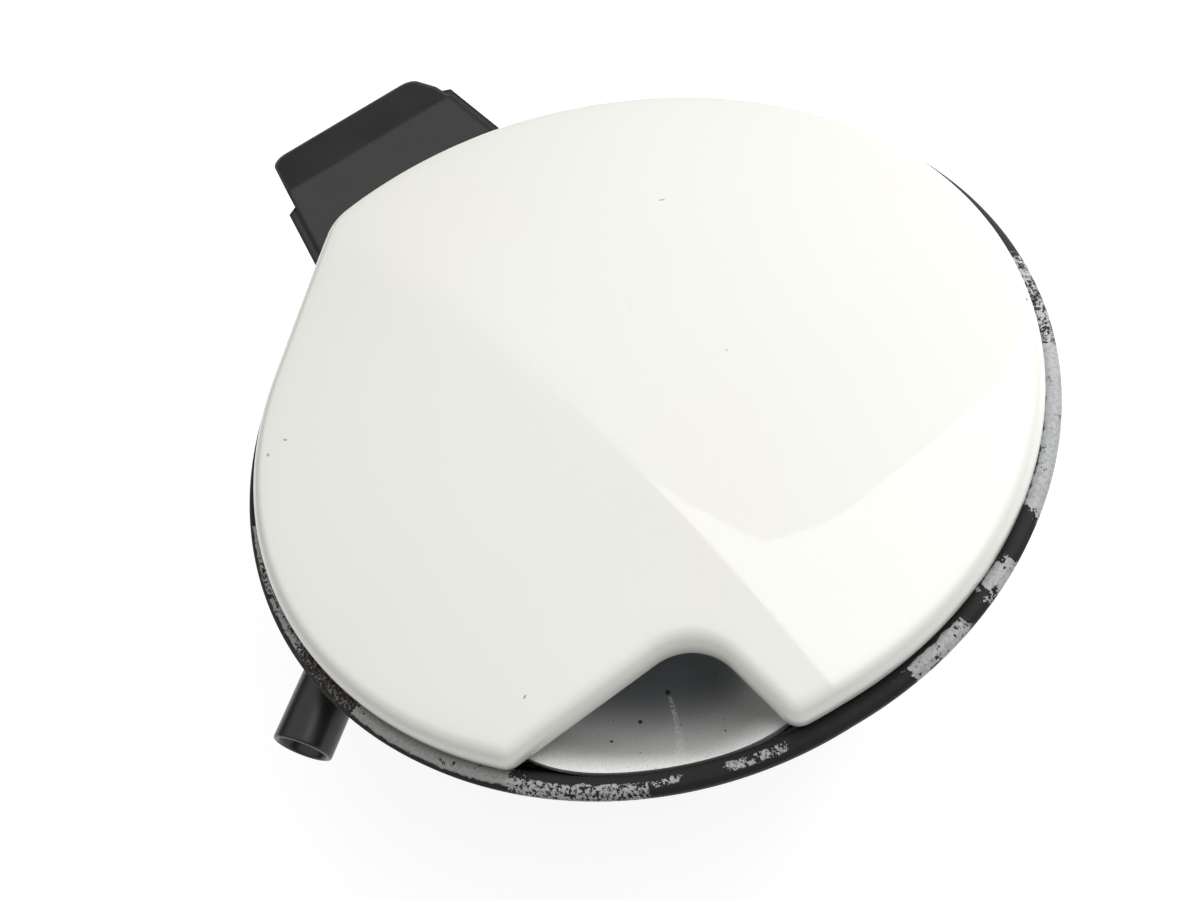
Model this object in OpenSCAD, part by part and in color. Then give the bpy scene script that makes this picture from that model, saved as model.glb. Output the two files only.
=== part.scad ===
// Fuel filler flap of a car, with its housing, gooseneck hinge and drain spout.
// The origin is on the axis of the filler neck, on the plane that the part stands on.
// +X points away from the hinge, Y runs along the hinge pin and +Z points out of the flap.

/* [Mouth] */
// Outer radius of the soft lip round the mouth
lip_r = 92; // [88:0.5:98]
// Radial width of the lip at its top
lip_w = 4.5; // [3:0.25:6]
// Height of the lip's outer leg
lip_leg = 6; // [4:0.5:8]
// Clearance between the lip and the closed flap
lip_gap = 0.8; // [0.4:0.1:1.5]

/* [Flap] */
// How far the flap's round edge lies inside the lip's outer edge
flap_inset = 3.3; // [2:0.1:4]
// How far the hinge edge stands out past the round edge
hinge_bulge = 10.2; // [8:0.2:12]
// Height of the flap's middle above the mouth plane
flap_peak = 11; // [9:0.5:14]
// Fall of the crown from the middle to the round edge
crown = 3.5; // [1:0.25:5]
// Depth of the flap's turned-down edge
edge_h = 5.2; // [4:0.2:7]
// Radius of the flap's rounded edge
edge_round = 3.5; // [2:0.25:4]
// Wall of the flap skin
skin_t = 2.5; // [1.8:0.1:3]
// Fall of the crease's lower side, away from the crease
fall_low = 2.2; // [0:0.1:3.5]
// Fall of the crease's upper side, away from the crease
fall_high = 1.2; // [0:0.1:3]

/* [Finger notch] */
// Distance of the notch's long side from the neck axis
notch_x = 61.5; // [56:0.5:66]
// Place of the notch's short side along the hinge direction
notch_y = -18.8; // [-22:0.2:-16]
// Slope of the notch's short side
notch_slope = 10; // [4:1:14]
// Radius of the notch's inner corner
notch_r = 8; // [5:0.5:12]
// Radius of the two outer corners of the notch
notch_tip_r = 4; // [3.6:0.1:6]

/* [Bowl] */
// Depth of the bowl below the mouth plane
bowl_depth = 66; // [64:0.5:70]
// Wall of the bowl and the hinge box
wall = 2.5; // [2:0.1:3]
// Inward lean of the bowl wall for each millimetre of depth
taper = 0.42; // [0.4:0.01:0.45]
// Height of the rubber collar, from the standing plane to the bowl's floor
collar_h = 10; // [8:0.5:14]
// Inner radius of the rubber collar, for the filler neck
neck_r = 30; // [26:0.5:32]

/* [Hinge] */
// Distance of the pin from the flap's hinge edge
pin_out = 25.1; // [24:0.1:28]
// Depth of the pin below the mouth plane
pin_depth = 20; // [19.5:0.5:22]
// Radius of the hinge pin
pin_r = 2.5; // [2:0.1:3]
// Running clearance of the pin in its bushes
pin_gap = 0.05; // [0.02:0.01:0.1]
// Width of the gooseneck arm
arm_w = 18; // [14:0.5:20]
// Thickness of the gooseneck arm
arm_t = 7; // [5.5:0.25:7.5]
// Depth of the top of the hinge box below the mouth plane
box_depth = 10; // [9:0.25:10.5]
// Distance from the pin to the outer end of the hinge box
box_out = 31.5; // [29:0.5:34]
// Width of the hinge box's lower side at its outer end, from the middle of the hinge
box_end_w = 25.1; // [23:0.1:28]
// Width of that side at the box's root inside the bowl
box_root_w = 32.1; // [30:0.1:36]
// Radius of the outer corners of the hinge box
box_round = 5; // [3:0.5:7]
// Side offset of the hinge from the neck axis
hinge_side = -12; // [-14:0.5:-8]

/* [Drain spout] */
// Outer radius of the spout
spout_r = 7; // [6:0.25:8]
// Bore radius of the spout
spout_bore = 5.6; // [4:0.1:6]
// Depth of the spout's axis below the mouth plane
spout_depth = 27; // [25:0.5:32]
// Direction of the spout, from the X axis
spout_az = -48.7; // [-56:0.1:-44]

/* [Lock] */
// Direction of the lock from the neck axis
lock_az = 35; // [30:1:45]
// Bore radius of the lock bush
lock_r = 4.5; // [3.5:0.1:5]
// Depth of the lock's axis below the mouth plane
lock_depth = 18; // [16:0.5:22]
// Length of the lock bush
bush_len = 11; // [9:0.5:13]

/* [Hidden] */
$fn = 96;
fit = 0.1;
cut = 1;

// Height of the mouth plane above the standing plane
mouth_h = bowl_depth + collar_h;

// Flap form
flap_r = lip_r - flap_inset;
edge_x = -(flap_r + hinge_bulge);
edge_wall = 2.2;
crease_mid = -12.9;
crease_lean = 0.142;
crease_bend = -0.00064;
fold_reach = 28;
fold_soft = 11;
corner_r = 14.5;
bulge_az = 108;
edge_mid = -11;
edge_bow = 95;
bow_az = 10.5;
bow_c = [edge_x + edge_bow, edge_mid];
corner = bow_c + (edge_bow - corner_r) * dir(180 + bow_az);
short_n = 90 + notch_slope;
long_n = 182;
short_off = norm_at([notch_x + 8, notch_y], short_n);
long_off = norm_at([notch_x, -30], long_n);

// Bowl and seats
wall_top = 3.5;
floor_z = collar_h;
floor_t = wall;
neck_wall = 4.8;
hole_r = neck_r + neck_wall + fit;
collar_flange = 1.5;
collar_grip = 5;
collar_foot = 8;
collar_foot_t = 2;
ring_w = 14;
ring_in = hole_r - 1;
ring_out = ring_in + ring_w;
ring_t = 4;
ring_screw_r = ring_out - 3.2;
ring_screws_n = 4;
ring_bore = 9;

// Screws: shank radius, head radius, head height
screw_r = 1.5;
head_r = 3;
head_h = 1.8;
boss_r = 3.6;

// Carrier under the skin
carrier_r = flap_r - 6.7;
carrier_bot = mouth_h + 1.2;
carrier_t = 2;
carrier_rib = 2.5;
foot_boss = 4.2;
tongue_boss = 4;
rib_t = 2;
hub_r = 15;
rib_r = 46;
pad_w = 12;
skin_bend = 1.5;
disc_r = 24;
disc_h = 3.2;

// Hinge
pin_x = edge_x - pin_out;
pin_z = mouth_h - pin_depth;
eye_r = pin_r + 4;
boss_end = arm_w / 2 + 1;
bush_r = pin_r + 2;
bush_flange = 0.8;
arm_drop = bowl_depth - pin_depth - 2 - arm_t / 2;
arm_bend = 6.5;
arm_run = 49.5;
foot_t = 3;
foot_len = 31;
foot_w = 30;
foot_near = arm_t + head_r + 0.5;
foot_far = foot_len - 5;
box_end = pin_x - box_out;
box_flat = pin_x - 11;
box_slope = 3.4;
box_low = pin_x - 4;
box_end_low = 36;
box_root = -40;
flange_root = -72;
step_x = box_end + 12;
end_right = 23.6;
step_right = 27.6;
root_right = 40.2;
flange_t = 2;
flange_w = 2.6;
flange_drop = 2;

// Cover on the slanted bottom of the hinge box
slant = atan2(bowl_depth + floor_t - box_end_low, box_low - box_end);
slant_len = norm([bowl_depth + floor_t - box_end_low, box_low - box_end]);
cover_t = 2.2;
cover_gap = 1;
cover_in = 5.5;
cover_side = 5;
cover_ribs = [-9, 0, 9];
cover_rib_t = 1.6;
cover_rib_h = 2;
cover_bore = 7;

// Leaf spring, measured from the pin
leaf_t = 0.8;
leaf_w = 14;
leaf_h = 28;
leaf_x = -8.6;
leaf_low = -24;
leaf_bend = 3.6;
leaf_out = leaf_bend + leaf_t;
leaf_back = leaf_x - leaf_t - 2 * leaf_bend;

// Spout
spout_side = -57.5;
spout_tip = (lip_r - 4.1) * dir(spout_az) + spout_side * dir(spout_az + 90);
spout_out = 21;
spigot_len = 11;
spigot_r = (spout_r + spout_bore) / 2 + 0.2;
socket_len = 15;
socket_t = 2.2;
drain_len = spout_out + socket_len + 12;

// Lock
lock_seat = 7;
lock_in = wall_r(lock_depth) - lock_seat;
lock_out = lock_in + bush_len;
bush_wall = 2.5;
tongue_r = lock_in - 5;
tongue_t = 4;
tongue_w = 16;
tongue_low = lock_depth + 8;

// Buffers
buffer_az = 75;
buffer_pos = lip_r - 15;
buffer_r = 5;
buffer_stem = 2.2;
buffer_top = mouth_h + 0.9;
post_top = mouth_h - 7;

// Finger scoop
scoop_low_az = -45;
scoop_high_az = -9;
scoop_reach = 40;
scoop_deep = 20;
scoop_t = 2;
scoop_lip = 1;
scoop_dip = 4;
scoop_bow = 2.2;
scoop_rim = lip_r - lip_w - 0.5;

// Body clips
clip_azs = [60, 120, -60, -120];
clip_w = 10;
clip_t = 0.8;
clip_h = 11;
clip_barb = 3;
clip_depth = 20;
pad_t = 0.6;
pad_h = 13;

// Radius of the bowl wall's outer face at a depth below the mouth plane
function wall_r(d) = lip_r - 1.5 - taper * d;

// Distance of a point along a direction
function norm_at(p, a) = p * [cos(a), sin(a)];
function arc(c, r, a0, a1, n) = [for (i = [0:n]) c + r * dir(a0 + (a1 - a0) * i / n)];
function dir(a) = [cos(a), sin(a)];
function mix(a, b, t) = a + (b - a) * t;
function line(p, q, n) = [for (i = [1:n - 1]) mix(p, q, i / n)];
function bez(p, t) = p[0] * pow(1 - t, 3) + p[1] * 3 * t * pow(1 - t, 2)
    + p[2] * 3 * t * t * (1 - t) + p[3] * pow(t, 3);

// Centre of a round corner of radius r inside the flap's circle, r away from a flank
function tip_centre(n_az, off, r, side) = (off + r) * dir(n_az)
    + side * sqrt(pow(flap_r - r, 2) - pow(off + r, 2)) * dir(n_az - 90);

// Point at given distances along two directions
function cross_at(a, da, b, db) = [da * sin(b) - db * sin(a), db * cos(a) - da * cos(b)] / sin(b - a);

tip_high = tip_centre(short_n, short_off, notch_tip_r, 1);
tip_low = tip_centre(long_n, long_off, notch_tip_r, -1);
notch_c = cross_at(short_n, short_off - notch_r, long_n, long_off - notch_r);
high_az = atan2(tip_high[1], tip_high[0]);
low_az = atan2(tip_low[1], tip_low[0]) + 360;
corner_az = 180 + atan2(-corner[1], -corner[0]) + acos((flap_r - corner_r) / norm(corner));
crease_end = asin(crease(flap_r) / flap_r);
bulge_p = [flap_r * dir(bulge_az), flap_r * dir(bulge_az) + 40 * dir(bulge_az + 90),
    [edge_x, edge_mid + 44], [edge_x, edge_mid]];

// Outline of the flap, counter-clockwise from the notch's upper corner
flap_line = concat(
    arc([0, 0], flap_r, high_az, crease_end, 2),
    arc([0, 0], flap_r, crease_end + 4.5, bulge_az, 24),
    [for (i = [1:12]) bez(bulge_p, i / 13)],
    arc(bow_c, edge_bow, 180, 180 + bow_az, 4),
    arc(corner, corner_r, 185 + bow_az, corner_az, 6),
    line(corner + corner_r * dir(corner_az), flap_r * dir(corner_az), 3),
    arc([0, 0], flap_r, corner_az, low_az, 18),
    arc(tip_low, notch_tip_r, low_az + 8, 362, 5),
    line(tip_low + notch_tip_r * dir(2), notch_c + notch_r * dir(long_n), 5),
    arc(notch_c, notch_r, long_n, short_n, 8),
    line(notch_c + notch_r * dir(short_n), tip_high - notch_tip_r * dir(short_n), 4),
    arc(tip_high, notch_tip_r, short_n - 180, high_az - 8, 5));
flap_n = len(flap_line);

// Side shift of the crease along the flap
function crease(x) = crease_mid + crease_lean * x + crease_bend * x * x;

// Fall of the surface away from the crease, softer towards the hinge
function soft(x) = 0.5 + fold_soft * pow(max(0, (flap_r / 2 - x) / (1.5 * flap_r)), 1.5);
function away(x, d) = sqrt(d * d + pow(soft(x), 2)) - soft(x);
function fold(x, d) = (d > 0 ? fall_high : fall_low) * (1 - exp(-away(x, d) / fold_reach));

// Height of the flap's outer surface
function top(p) = mouth_h + flap_peak - crown * (p * p) / pow(flap_r, 2) - fold(p[0], p[1] - crease(p[0]));

// Outline point moved inwards along its normal
function inset(i, d) = let (a = flap_line[(i + flap_n - 1) % flap_n], b = flap_line[(i + 1) % flap_n],
    t = (b - a) / norm(b - a)) flap_line[i] + d * [-t[1], t[0]];

// Point of the inset outline pulled towards the middle of the crease
function pull(p, s) = [p[0] * s, (p[1] - crease(p[0])) * s + crease(p[0] * s)];
function ring_at(d, drop) = [for (i = [0:flap_n - 1]) let (q = inset(i, d)) [q[0], q[1], top(q) - drop]];
function pull_ring(d, s, drop) = [for (i = [0:flap_n - 1]) let (q = pull(inset(i, d), s))
    [q[0], q[1], top(q) - drop]];
function hem_ring(d) = [for (i = [0:flap_n - 1]) let (q = inset(i, d)) [q[0], q[1], hem(flap_line[i])]];
function hem(p) = top(p) - edge_h;

// Height of the lip under the flap's edge
function lip_z(a) = hem(flap_r * dir(a)) - lip_gap;

// Closed skin through rings of equal length, from a first point to a last point
module shell(first, rings, last) {
    n = len(rings[0]);
    m = len(rings);
    points = concat([first], [for (r = rings) each r], [last]);
    faces = concat(
        [for (i = [0:n - 1]) [0, 1 + (i + 1) % n, 1 + i]],
        [for (k = [0:m - 2], i = [0:n - 1]) let (a = 1 + k * n + i, b = 1 + k * n + (i + 1) % n)
            each [[a, b, b + n], [a, b + n, a + n]]],
        [for (i = [0:n - 1]) [1 + m * n, 1 + (m - 1) * n + i, 1 + (m - 1) * n + (i + 1) % n]]);
    polyhedron(points, faces);
}

// Solid through a row of closed sections, with flat ends or joined into a ring
module sweep(sections, closed) {
    n = len(sections[0]);
    m = len(sections);
    last = closed ? m - 1 : m - 2;
    sides = [for (k = [0:last], i = [0:n - 1]) let (a = k * n, b = ((k + 1) % m) * n, j = (i + 1) % n)
        each [[a + i, a + j, b + j], [a + i, b + j, b + i]]];
    ends = closed ? [] : [[for (i = [n - 1:-1:0]) i], [for (i = [0:n - 1]) (m - 1) * n + i]];
    polyhedron([for (s = sections) each s], concat(sides, ends));
}

// Extrusion along Y of a shape drawn in X and Z, centred on the hinge
module along_pin(w) {
    translate([0, hinge_side + w / 2, 0]) rotate([90, 0, 0]) linear_extrude(w) children();
}

// Round bar along Y, from one distance to another from the hinge's middle
module pin_bar(r, from, to) {
    translate([pin_x, hinge_side + to, pin_z]) rotate([90, 0, 0]) cylinder(r = r, h = to - from);
}

// Small round bar or hole along Z, from a height
module peg(r, from, h) {
    translate([0, 0, from]) cylinder(r = r, h = h, $fn = 32);
}

// Pan-head screw with its head's seat at z = 0 and its shank downwards
module screw(len) {
    translate([0, 0, -len]) cylinder(r = screw_r, h = len + 0.2, $fn = 32);
    difference() {
        cylinder(r = head_r, h = head_h, $fn = 32);
        for (a = [0, 90]) rotate([0, 0, a]) translate([-1.8, -0.4, head_h - 1]) cube([3.6, 0.8, 2]);
    }
}

// Screw from below through a foot of the flap's fittings
module screw_up(len) {
    translate([0, 0, -foot_t]) rotate([180, 0, 0]) screw(len);
}

module flap_skin() {
    s1 = edge_round * (1 - cos(30));
    s2 = edge_round * (1 - cos(60));
    under = edge_wall + skin_bend;
    color("white") shell([0, crease(0), top([0, crease(0)])],
        [for (s = [0.2, 0.45, 0.7, 0.9, 1]) pull_ring(edge_round, s, 0),
            ring_at(s2, edge_round * (1 - sin(60))),
            ring_at(s1, edge_round * (1 - sin(30))),
            ring_at(0, edge_round),
            hem_ring(0),
            hem_ring(edge_wall),
            ring_at(edge_wall, skin_t + 1.3),
            ring_at(under, skin_t),
            pull_ring(under, 0.8, skin_t),
            pull_ring(under, 0.4, skin_t)],
        [0, crease(0), top([0, crease(0)]) - skin_t]);
}

// Places of the four screws in the arm's foot
module at_foot() {
    for (x = [foot_near, foot_far], y = [-1, 1])
        translate([pin_x + arm_run - arm_t / 2 + x, hinge_side + y * (foot_w / 2 - 4.5), carrier_bot])
            children();
}

// Places of the two screws in the tongue's foot
module at_tongue() {
    for (y = [-1, 1]) rotate([0, 0, lock_az]) translate([tongue_r - 8, y * 5, carrier_bot]) children();
}

module carrier_plate(h) {
    difference() {
        cylinder(r = carrier_r, h = h);
        translate([notch_x - 5, -2 * flap_r, -cut]) cube([flap_r, 2 * flap_r + notch_y + 8, h + 2 * cut]);
    }
}

module flap_carrier() {
    color("dimgray") difference() {
        union() {
            translate([0, 0, carrier_bot]) carrier_plate(carrier_t);
            for (a = [20, 60, 100, 235, 270, 302]) rotate([0, 0, a])
                translate([carrier_r - 2, -pad_w / 2, carrier_bot + 0.4])
                    cube([flap_r - edge_wall - skin_bend - 0.3 - carrier_r + 2, pad_w, carrier_t - 0.8]);
            translate([0, 0, carrier_bot + carrier_t]) difference() {
                cylinder(r = disc_r, h = disc_h);
                translate([0, 0, -cut]) cylinder(r = disc_r - rib_t, h = disc_h + 2 * cut);
            }
            translate([0, 0, carrier_bot - carrier_rib]) rib_ring(rib_r - rib_t, rib_r);
            for (a = [25:45:340]) rotate([0, 0, a])
                translate([hub_r - 1, -rib_t / 2, carrier_bot - carrier_rib])
                    cube([rib_r - hub_r, rib_t, carrier_rib + 0.1]);
            translate([0, 0, carrier_bot - carrier_rib]) rib_ring(hub_r - 3, hub_r);
            at_foot() peg(boss_r, 0, foot_boss);
            at_tongue() peg(boss_r, 0, tongue_boss);
        }
        at_foot() peg(screw_r + 0.05, -cut, foot_boss + 2 * cut);
        at_tongue() peg(screw_r + 0.05, -cut, tongue_boss + 2 * cut);
    }
}

module rib_ring(r_in, r_out) {
    difference() {
        cylinder(r = r_out, h = carrier_rib + 0.1);
        translate([0, 0, -cut]) cylinder(r = r_in, h = carrier_rib + 2 * cut);
    }
}

// Line of the gooseneck, h to each side, from the pin to under the flap
module neck_line(h, top_z) {
    translate([-h, -arm_drop + arm_bend]) square([2 * h, arm_drop - arm_bend]);
    translate([arm_bend, -arm_drop - h]) square([arm_run - 2 * arm_bend, 2 * h]);
    translate([arm_run - h, -arm_drop + arm_bend]) square([2 * h, top_z + arm_drop - arm_bend]);
    translate([arm_bend, -arm_drop + arm_bend]) neck_bend(h, 180);
    translate([arm_run - arm_bend, -arm_drop + arm_bend]) neck_bend(h, 270);
}

module neck_bend(h, a) {
    rotate([0, 0, a]) intersection() {
        difference() {
            circle(r = arm_bend + h, $fn = 48);
            circle(r = arm_bend - h, $fn = 48);
        }
        square(arm_bend + h);
    }
}

module hinge_arm() {
    web = 5;
    rim = 2;
    foot_z = carrier_bot - pin_z;
    color("dimgray") difference() {
        union() {
            translate([pin_x, 0, pin_z]) along_pin(arm_w) {
                neck_line(arm_t / 2, foot_z - foot_t);
                circle(r = eye_r);
                translate([-4.5, -2.6]) circle(r = 3, $fn = 32);
            }
            translate([pin_x + arm_run - arm_t / 2, hinge_side - foot_w / 2, carrier_bot - foot_t])
                cube([foot_len, foot_w, foot_t]);
            translate([pin_x + arm_run, 0, carrier_bot - foot_t]) along_pin(3)
                polygon([[0, 0.1], [foot_len - 6, 0.1], [arm_t / 2, -18], [0, -18]]);
        }
        for (s = [-1, 1]) translate([pin_x, s * (arm_w + web) / 2, pin_z]) along_pin(arm_w)
            difference() {
                neck_line(arm_t / 2 - rim, foot_z - foot_t - rim);
                circle(r = eye_r - 0.5);
            }
        pin_bar(pin_r + 0.02, -arm_w, arm_w);
        at_foot() peg(screw_r + 0.2, -foot_t - cut, foot_t + 2 * cut);
    }
}

module arm_screws() {
    color("silver") at_foot() screw_up(foot_t + foot_boss - 0.4);
}

// Width of the hinge box at a place along X, from the middle of the hinge to its side s
function box_w(x, s) = s < 0 ? mix(box_end_w, box_root_w, (x - box_end) / (box_root - box_end))
    : x < step_x ? mix(end_right, step_right, (x - box_end) / (step_x - box_end))
    : mix(step_right, root_right, (x - step_x) / (box_root - step_x));
ear_left = box_w(pin_x, 1);
ear_right = box_w(pin_x, -1);
pocket = 2.6;

module hinge_pin() {
    color("silver") difference() {
        union() {
            pin_bar(pin_r, -ear_right + pocket - 0.2, ear_left - 0.4);
            pin_bar(bush_r, -ear_right + 0.4, -ear_right + pocket - 0.2);
        }
        difference() {
            pin_bar(pin_r + cut, ear_left - 2.2, ear_left - 1.4);
            pin_bar(pin_r - 0.6, ear_left - 3, ear_left);
        }
    }
}

module pin_clip() {
    color("silver") difference() {
        pin_bar(pin_r + 1.9, ear_left - 2.1, ear_left - 1.5);
        pin_bar(pin_r - 0.55, ear_left - 3, ear_left);
        translate([pin_x - 1.3, hinge_side + ear_left - 3, pin_z - 8]) cube([2.6, 4, 8]);
    }
}

module bush(ear) {
    difference() {
        union() {
            pin_bar(bush_r, boss_end - bush_flange, ear - pocket - 0.2);
            pin_bar(bush_r + 1.4, boss_end - bush_flange, boss_end - 0.02);
        }
        pin_bar(pin_r + pin_gap, 0, ear + cut);
    }
}

module other_side() {
    translate([0, 2 * hinge_side, 0]) mirror([0, 1, 0]) children();
}

module hinge_bush_left() { color("ivory") bush(ear_left); }
module hinge_bush_right() { color("ivory") other_side() bush(ear_right); }

module latch_tongue() {
    foot_z = carrier_bot - foot_t + 0.1;
    color("dimgray") difference() {
        rotate([0, 0, lock_az]) union() {
            translate([tongue_r - 12, -tongue_w / 2, carrier_bot - foot_t]) cube([16, tongue_w, foot_t]);
            translate([tongue_r, -tongue_w / 2, mouth_h - tongue_low])
                cube([tongue_t, tongue_w, tongue_low + 1.2 - 0.01]);
            translate([0, 1, 0]) rotate([90, 0, 0]) linear_extrude(2)
                polygon([[tongue_r - 11, foot_z], [tongue_r + 0.1, foot_z],
                    [tongue_r + 0.1, mouth_h - lock_depth + 6]]);
        }
        lock_bar(lock_r, tongue_r - cut, tongue_r + tongue_t + cut);
        at_tongue() peg(screw_r + 0.2, -foot_t - cut, foot_t + 2 * cut);
    }
}

module tongue_screws() {
    color("silver") at_tongue() screw_up(foot_t + tongue_boss - 0.4);
}

// Round bar on the lock's axis
module lock_bar(r, from, to) {
    rotate([0, 0, lock_az]) translate([from, 0, mouth_h - lock_depth]) rotate([0, 90, 0])
        cylinder(r = r, h = to - from);
}

// Side view of the hinge box, pushed inwards by t
module box_side(t) {
    top_z = mouth_h - box_depth - t;
    low_z = floor_z - floor_t + t;
    end_x = box_end + t;
    low_x = box_low + t / sin(slant) - (t / tan(slant));
    polygon([[end_x, top_z - box_slope * (box_flat - end_x) / (box_flat - box_end)], [box_flat, top_z],
        [box_root, top_z], [box_root, low_z], [low_x, low_z],
        [end_x, mouth_h - box_end_low + t * tan(slant / 2)]]);
}

// Point on a side of the hinge box seen from above
function box_at(x, s) = [x, hinge_side + s * box_w(x, s)];

// The box seen from above, pushed inwards by t
module box_plan(t) {
    linear_extrude(mouth_h) offset(delta = -t) offset(r = box_round) offset(delta = -box_round)
        polygon([box_at(box_end, -1), box_at(box_root, -1), box_at(box_root, 1), box_at(step_x, 1),
            box_at(box_end, 1)]);
}

module box_solid(t) {
    intersection() {
        along_pin(3 * root_right) box_side(t);
        box_plan(t);
    }
}

// Frame on the slanted bottom of the box: X up the slope, Z outwards
module on_slant() {
    translate([box_low, hinge_side, floor_z - floor_t]) rotate([0, 180 + slant, 0]) children();
}

// Places of the four screws in the cover
module at_cover() {
    for (x = [cover_in, slant_len - cover_in], y = [-1, 1]) translate([x, y * (end_right - cover_side), 0])
        children();
}

module cover_holes(r, h) {
    at_cover() peg(r, -h, 2 * h);
}

// Bowl without its hollow
module bowl_outer() {
    r_top = wall_r(wall_top);
    r_low = wall_r(bowl_depth);
    rotate_extrude() polygon([[0, floor_z - floor_t], [r_low - 5, floor_z - floor_t], [r_low, floor_z + 3],
        [r_top, mouth_h - wall_top], [0, mouth_h - wall_top]]);
}

module bowl_inner() {
    r_top = wall_r(wall_top) - wall;
    r_low = wall_r(bowl_depth) - wall;
    rotate_extrude() polygon([[0, floor_z], [r_low - 4, floor_z], [r_low + 1, floor_z + 4],
        [r_top, mouth_h - wall_top], [r_top + taper, mouth_h - wall_top + cut],
        [0, mouth_h - wall_top + cut]]);
}

module spout_axis(from) {
    translate([spout_tip[0], spout_tip[1], mouth_h - spout_depth]) rotate([0, 0, spout_az])
        rotate([0, -90, 0]) translate([0, 0, from]) children();
}

module at_buffers() {
    for (s = [-1, 1]) rotate([0, 0, s * buffer_az]) translate([buffer_pos, 0, 0]) children();
}

// Frame on the bowl wall: X away from the wall, Z up the wall
module on_wall(az, d) {
    rotate([0, 0, az]) translate([wall_r(d), 0, mouth_h - d]) rotate([0, atan(taper), 0]) children();
}

module ring_places() {
    for (i = [0:ring_screws_n - 1]) rotate([0, 0, 45 + 360 * i / ring_screws_n])
        translate([ring_screw_r, 0, 0]) children();
}

// Flanges along the box's sides, the one at the upper side longer
module side_flange() {
    out = [0, flange_w];
    for (s = [-1, 1]) let (from = s < 0 ? box_flat + 4 : step_x + 1)
        translate([0, 0, mouth_h - box_depth - flange_drop - flange_t]) linear_extrude(flange_t) polygon([
            box_at(from, s) - s * [0, wall / 2], box_at(from + flange_w, s) + s * out,
            box_at(flange_root, s) + s * out, box_at(flange_root, s) - s * [0, wall]]);
}

module housing() {
    color("dimgray") difference() {
        union() {
            difference() {
                union() {
                    bowl_outer();
                    box_solid(0);
                    side_flange();
                    spout_axis(spout_out) cylinder(r = spout_r + socket_t, h = socket_len);
                    for (a = clip_azs) on_wall(a, clip_depth) translate([-wall + 0.5, -clip_w / 2 - 1, 0])
                        cube([wall - 0.5 + pad_t, clip_w + 2, pad_h]);
                    for (a = [20:40:340]) rotate([0, 0, a])
                        translate([hole_r + 6, -1, floor_z - floor_t - 4]) cube([14, 2, 5]);
                    ring_places() peg(boss_r, floor_z - floor_t - 4.5, 5);
                }
                bowl_inner();
                difference() {
                    box_solid(wall);
                    on_slant() cover_holes(boss_r, 9);
                    pin_boss(ear_left);
                    other_side() pin_boss(ear_right);
                    spring_seat();
                }
                on_slant() translate([wall, -end_right + 11, -wall - cut])
                    cube([slant_len - 2 * wall, 2 * end_right - 22, 2 * wall]);
            }
            intersection() {
                bowl_outer();
                union() {
                    at_buffers() translate([0, 0, mouth_h - 34]) cylinder(r = buffer_r, h = 27);
                    lock_bar(lock_r + bush_wall + 2.5, lock_in + 1.5, lip_r);
                }
            }
            lock_bar(lock_r + bush_wall + 2.5, wall_r(lock_depth) - 4, lock_out - 1);
        }
        translate([0, 0, -cut]) cylinder(r = hole_r, h = floor_z + 2 * cut);
        translate([-lip_r, hinge_side - arm_w / 2 - 2, floor_z + 1])
            cube([lip_r + box_root - 6, arm_w + 4, bowl_depth]);
        spout_axis(spout_out - cut) cylinder(r = spigot_r + fit, h = spigot_len + cut);
        spout_axis(spout_out) cylinder(r = spout_bore, h = drain_len - spout_out);
        pin_cuts(ear_left);
        other_side() pin_cuts(ear_right);
        lock_bar(lock_r + bush_wall + 0.05, lock_in - 6, lock_out + cut);
        lock_bar(lock_r + bush_wall + 2.1, lock_in - 6, lock_in + 1.5);
        at_buffers() peg(buffer_stem + 0.05, post_top - 8, 9);
        on_slant() cover_holes(screw_r + 0.05, 7);
        ring_places() peg(screw_r + 0.05, floor_z - floor_t - 5, ring_bore);
        translate([0, 0, post_top]) cylinder(r = wall_r(wall_top) - wall - 0.2, h = 12);
    }
}

// Boss for a hinge bush, standing in from the box's side wall
module pin_boss(ear) {
    pin_bar(bush_r + 2.5, boss_end, ear);
}

module pin_cuts(ear) {
    pin_bar(bush_r + 0.02, boss_end - cut, ear + 3);
    pin_bar(bush_r + 0.8, ear - pocket, ear + 3);
}

// Rails in the box that hold the back leg of the leaf spring
module spring_seat() {
    translate([pin_x + leaf_back, 0, pin_z]) along_pin(leaf_w + 2) {
        translate([-leaf_t - 4.1, -16]) square([4, 40]);
        translate([0.1, -4]) square([2, 30]);
    }
}

module leaf_spring() {
    color("silver") translate([pin_x, 0, pin_z]) along_pin(leaf_w) {
        translate([leaf_x - leaf_t, leaf_low]) square([leaf_t, leaf_h]);
        translate([leaf_back - leaf_t, leaf_low]) square([leaf_t, leaf_h]);
        translate([leaf_x - leaf_t - leaf_bend, leaf_low]) intersection() {
            difference() {
                circle(r = leaf_out, $fn = 48);
                circle(r = leaf_bend, $fn = 48);
            }
            translate([-leaf_out, -leaf_out]) square([2 * leaf_out, leaf_out]);
        }
    }
}

module hinge_box_cover() {
    rib_in = cover_in + head_r + 0.5;
    color("dimgray") difference() {
        union() {
            intersection() {
                on_slant() translate([cover_gap, -end_right + cover_gap, 0.02])
                    cube([slant_len - 2 * cover_gap, 2 * (end_right - cover_gap), cover_t]);
                translate([-cover_t, 0, -cover_t]) box_plan(cover_gap);
            }
            on_slant() for (y = cover_ribs) translate([rib_in, y - cover_rib_t / 2, cover_t])
                cube([slant_len - 2 * rib_in, cover_rib_t, cover_rib_h]);
        }
        on_slant() cover_holes(screw_r + 0.2, 6);
    }
}

module cover_screws() {
    color("silver") on_slant() at_cover() translate([0, 0, cover_t + 0.02]) screw(cover_bore);
}

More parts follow.
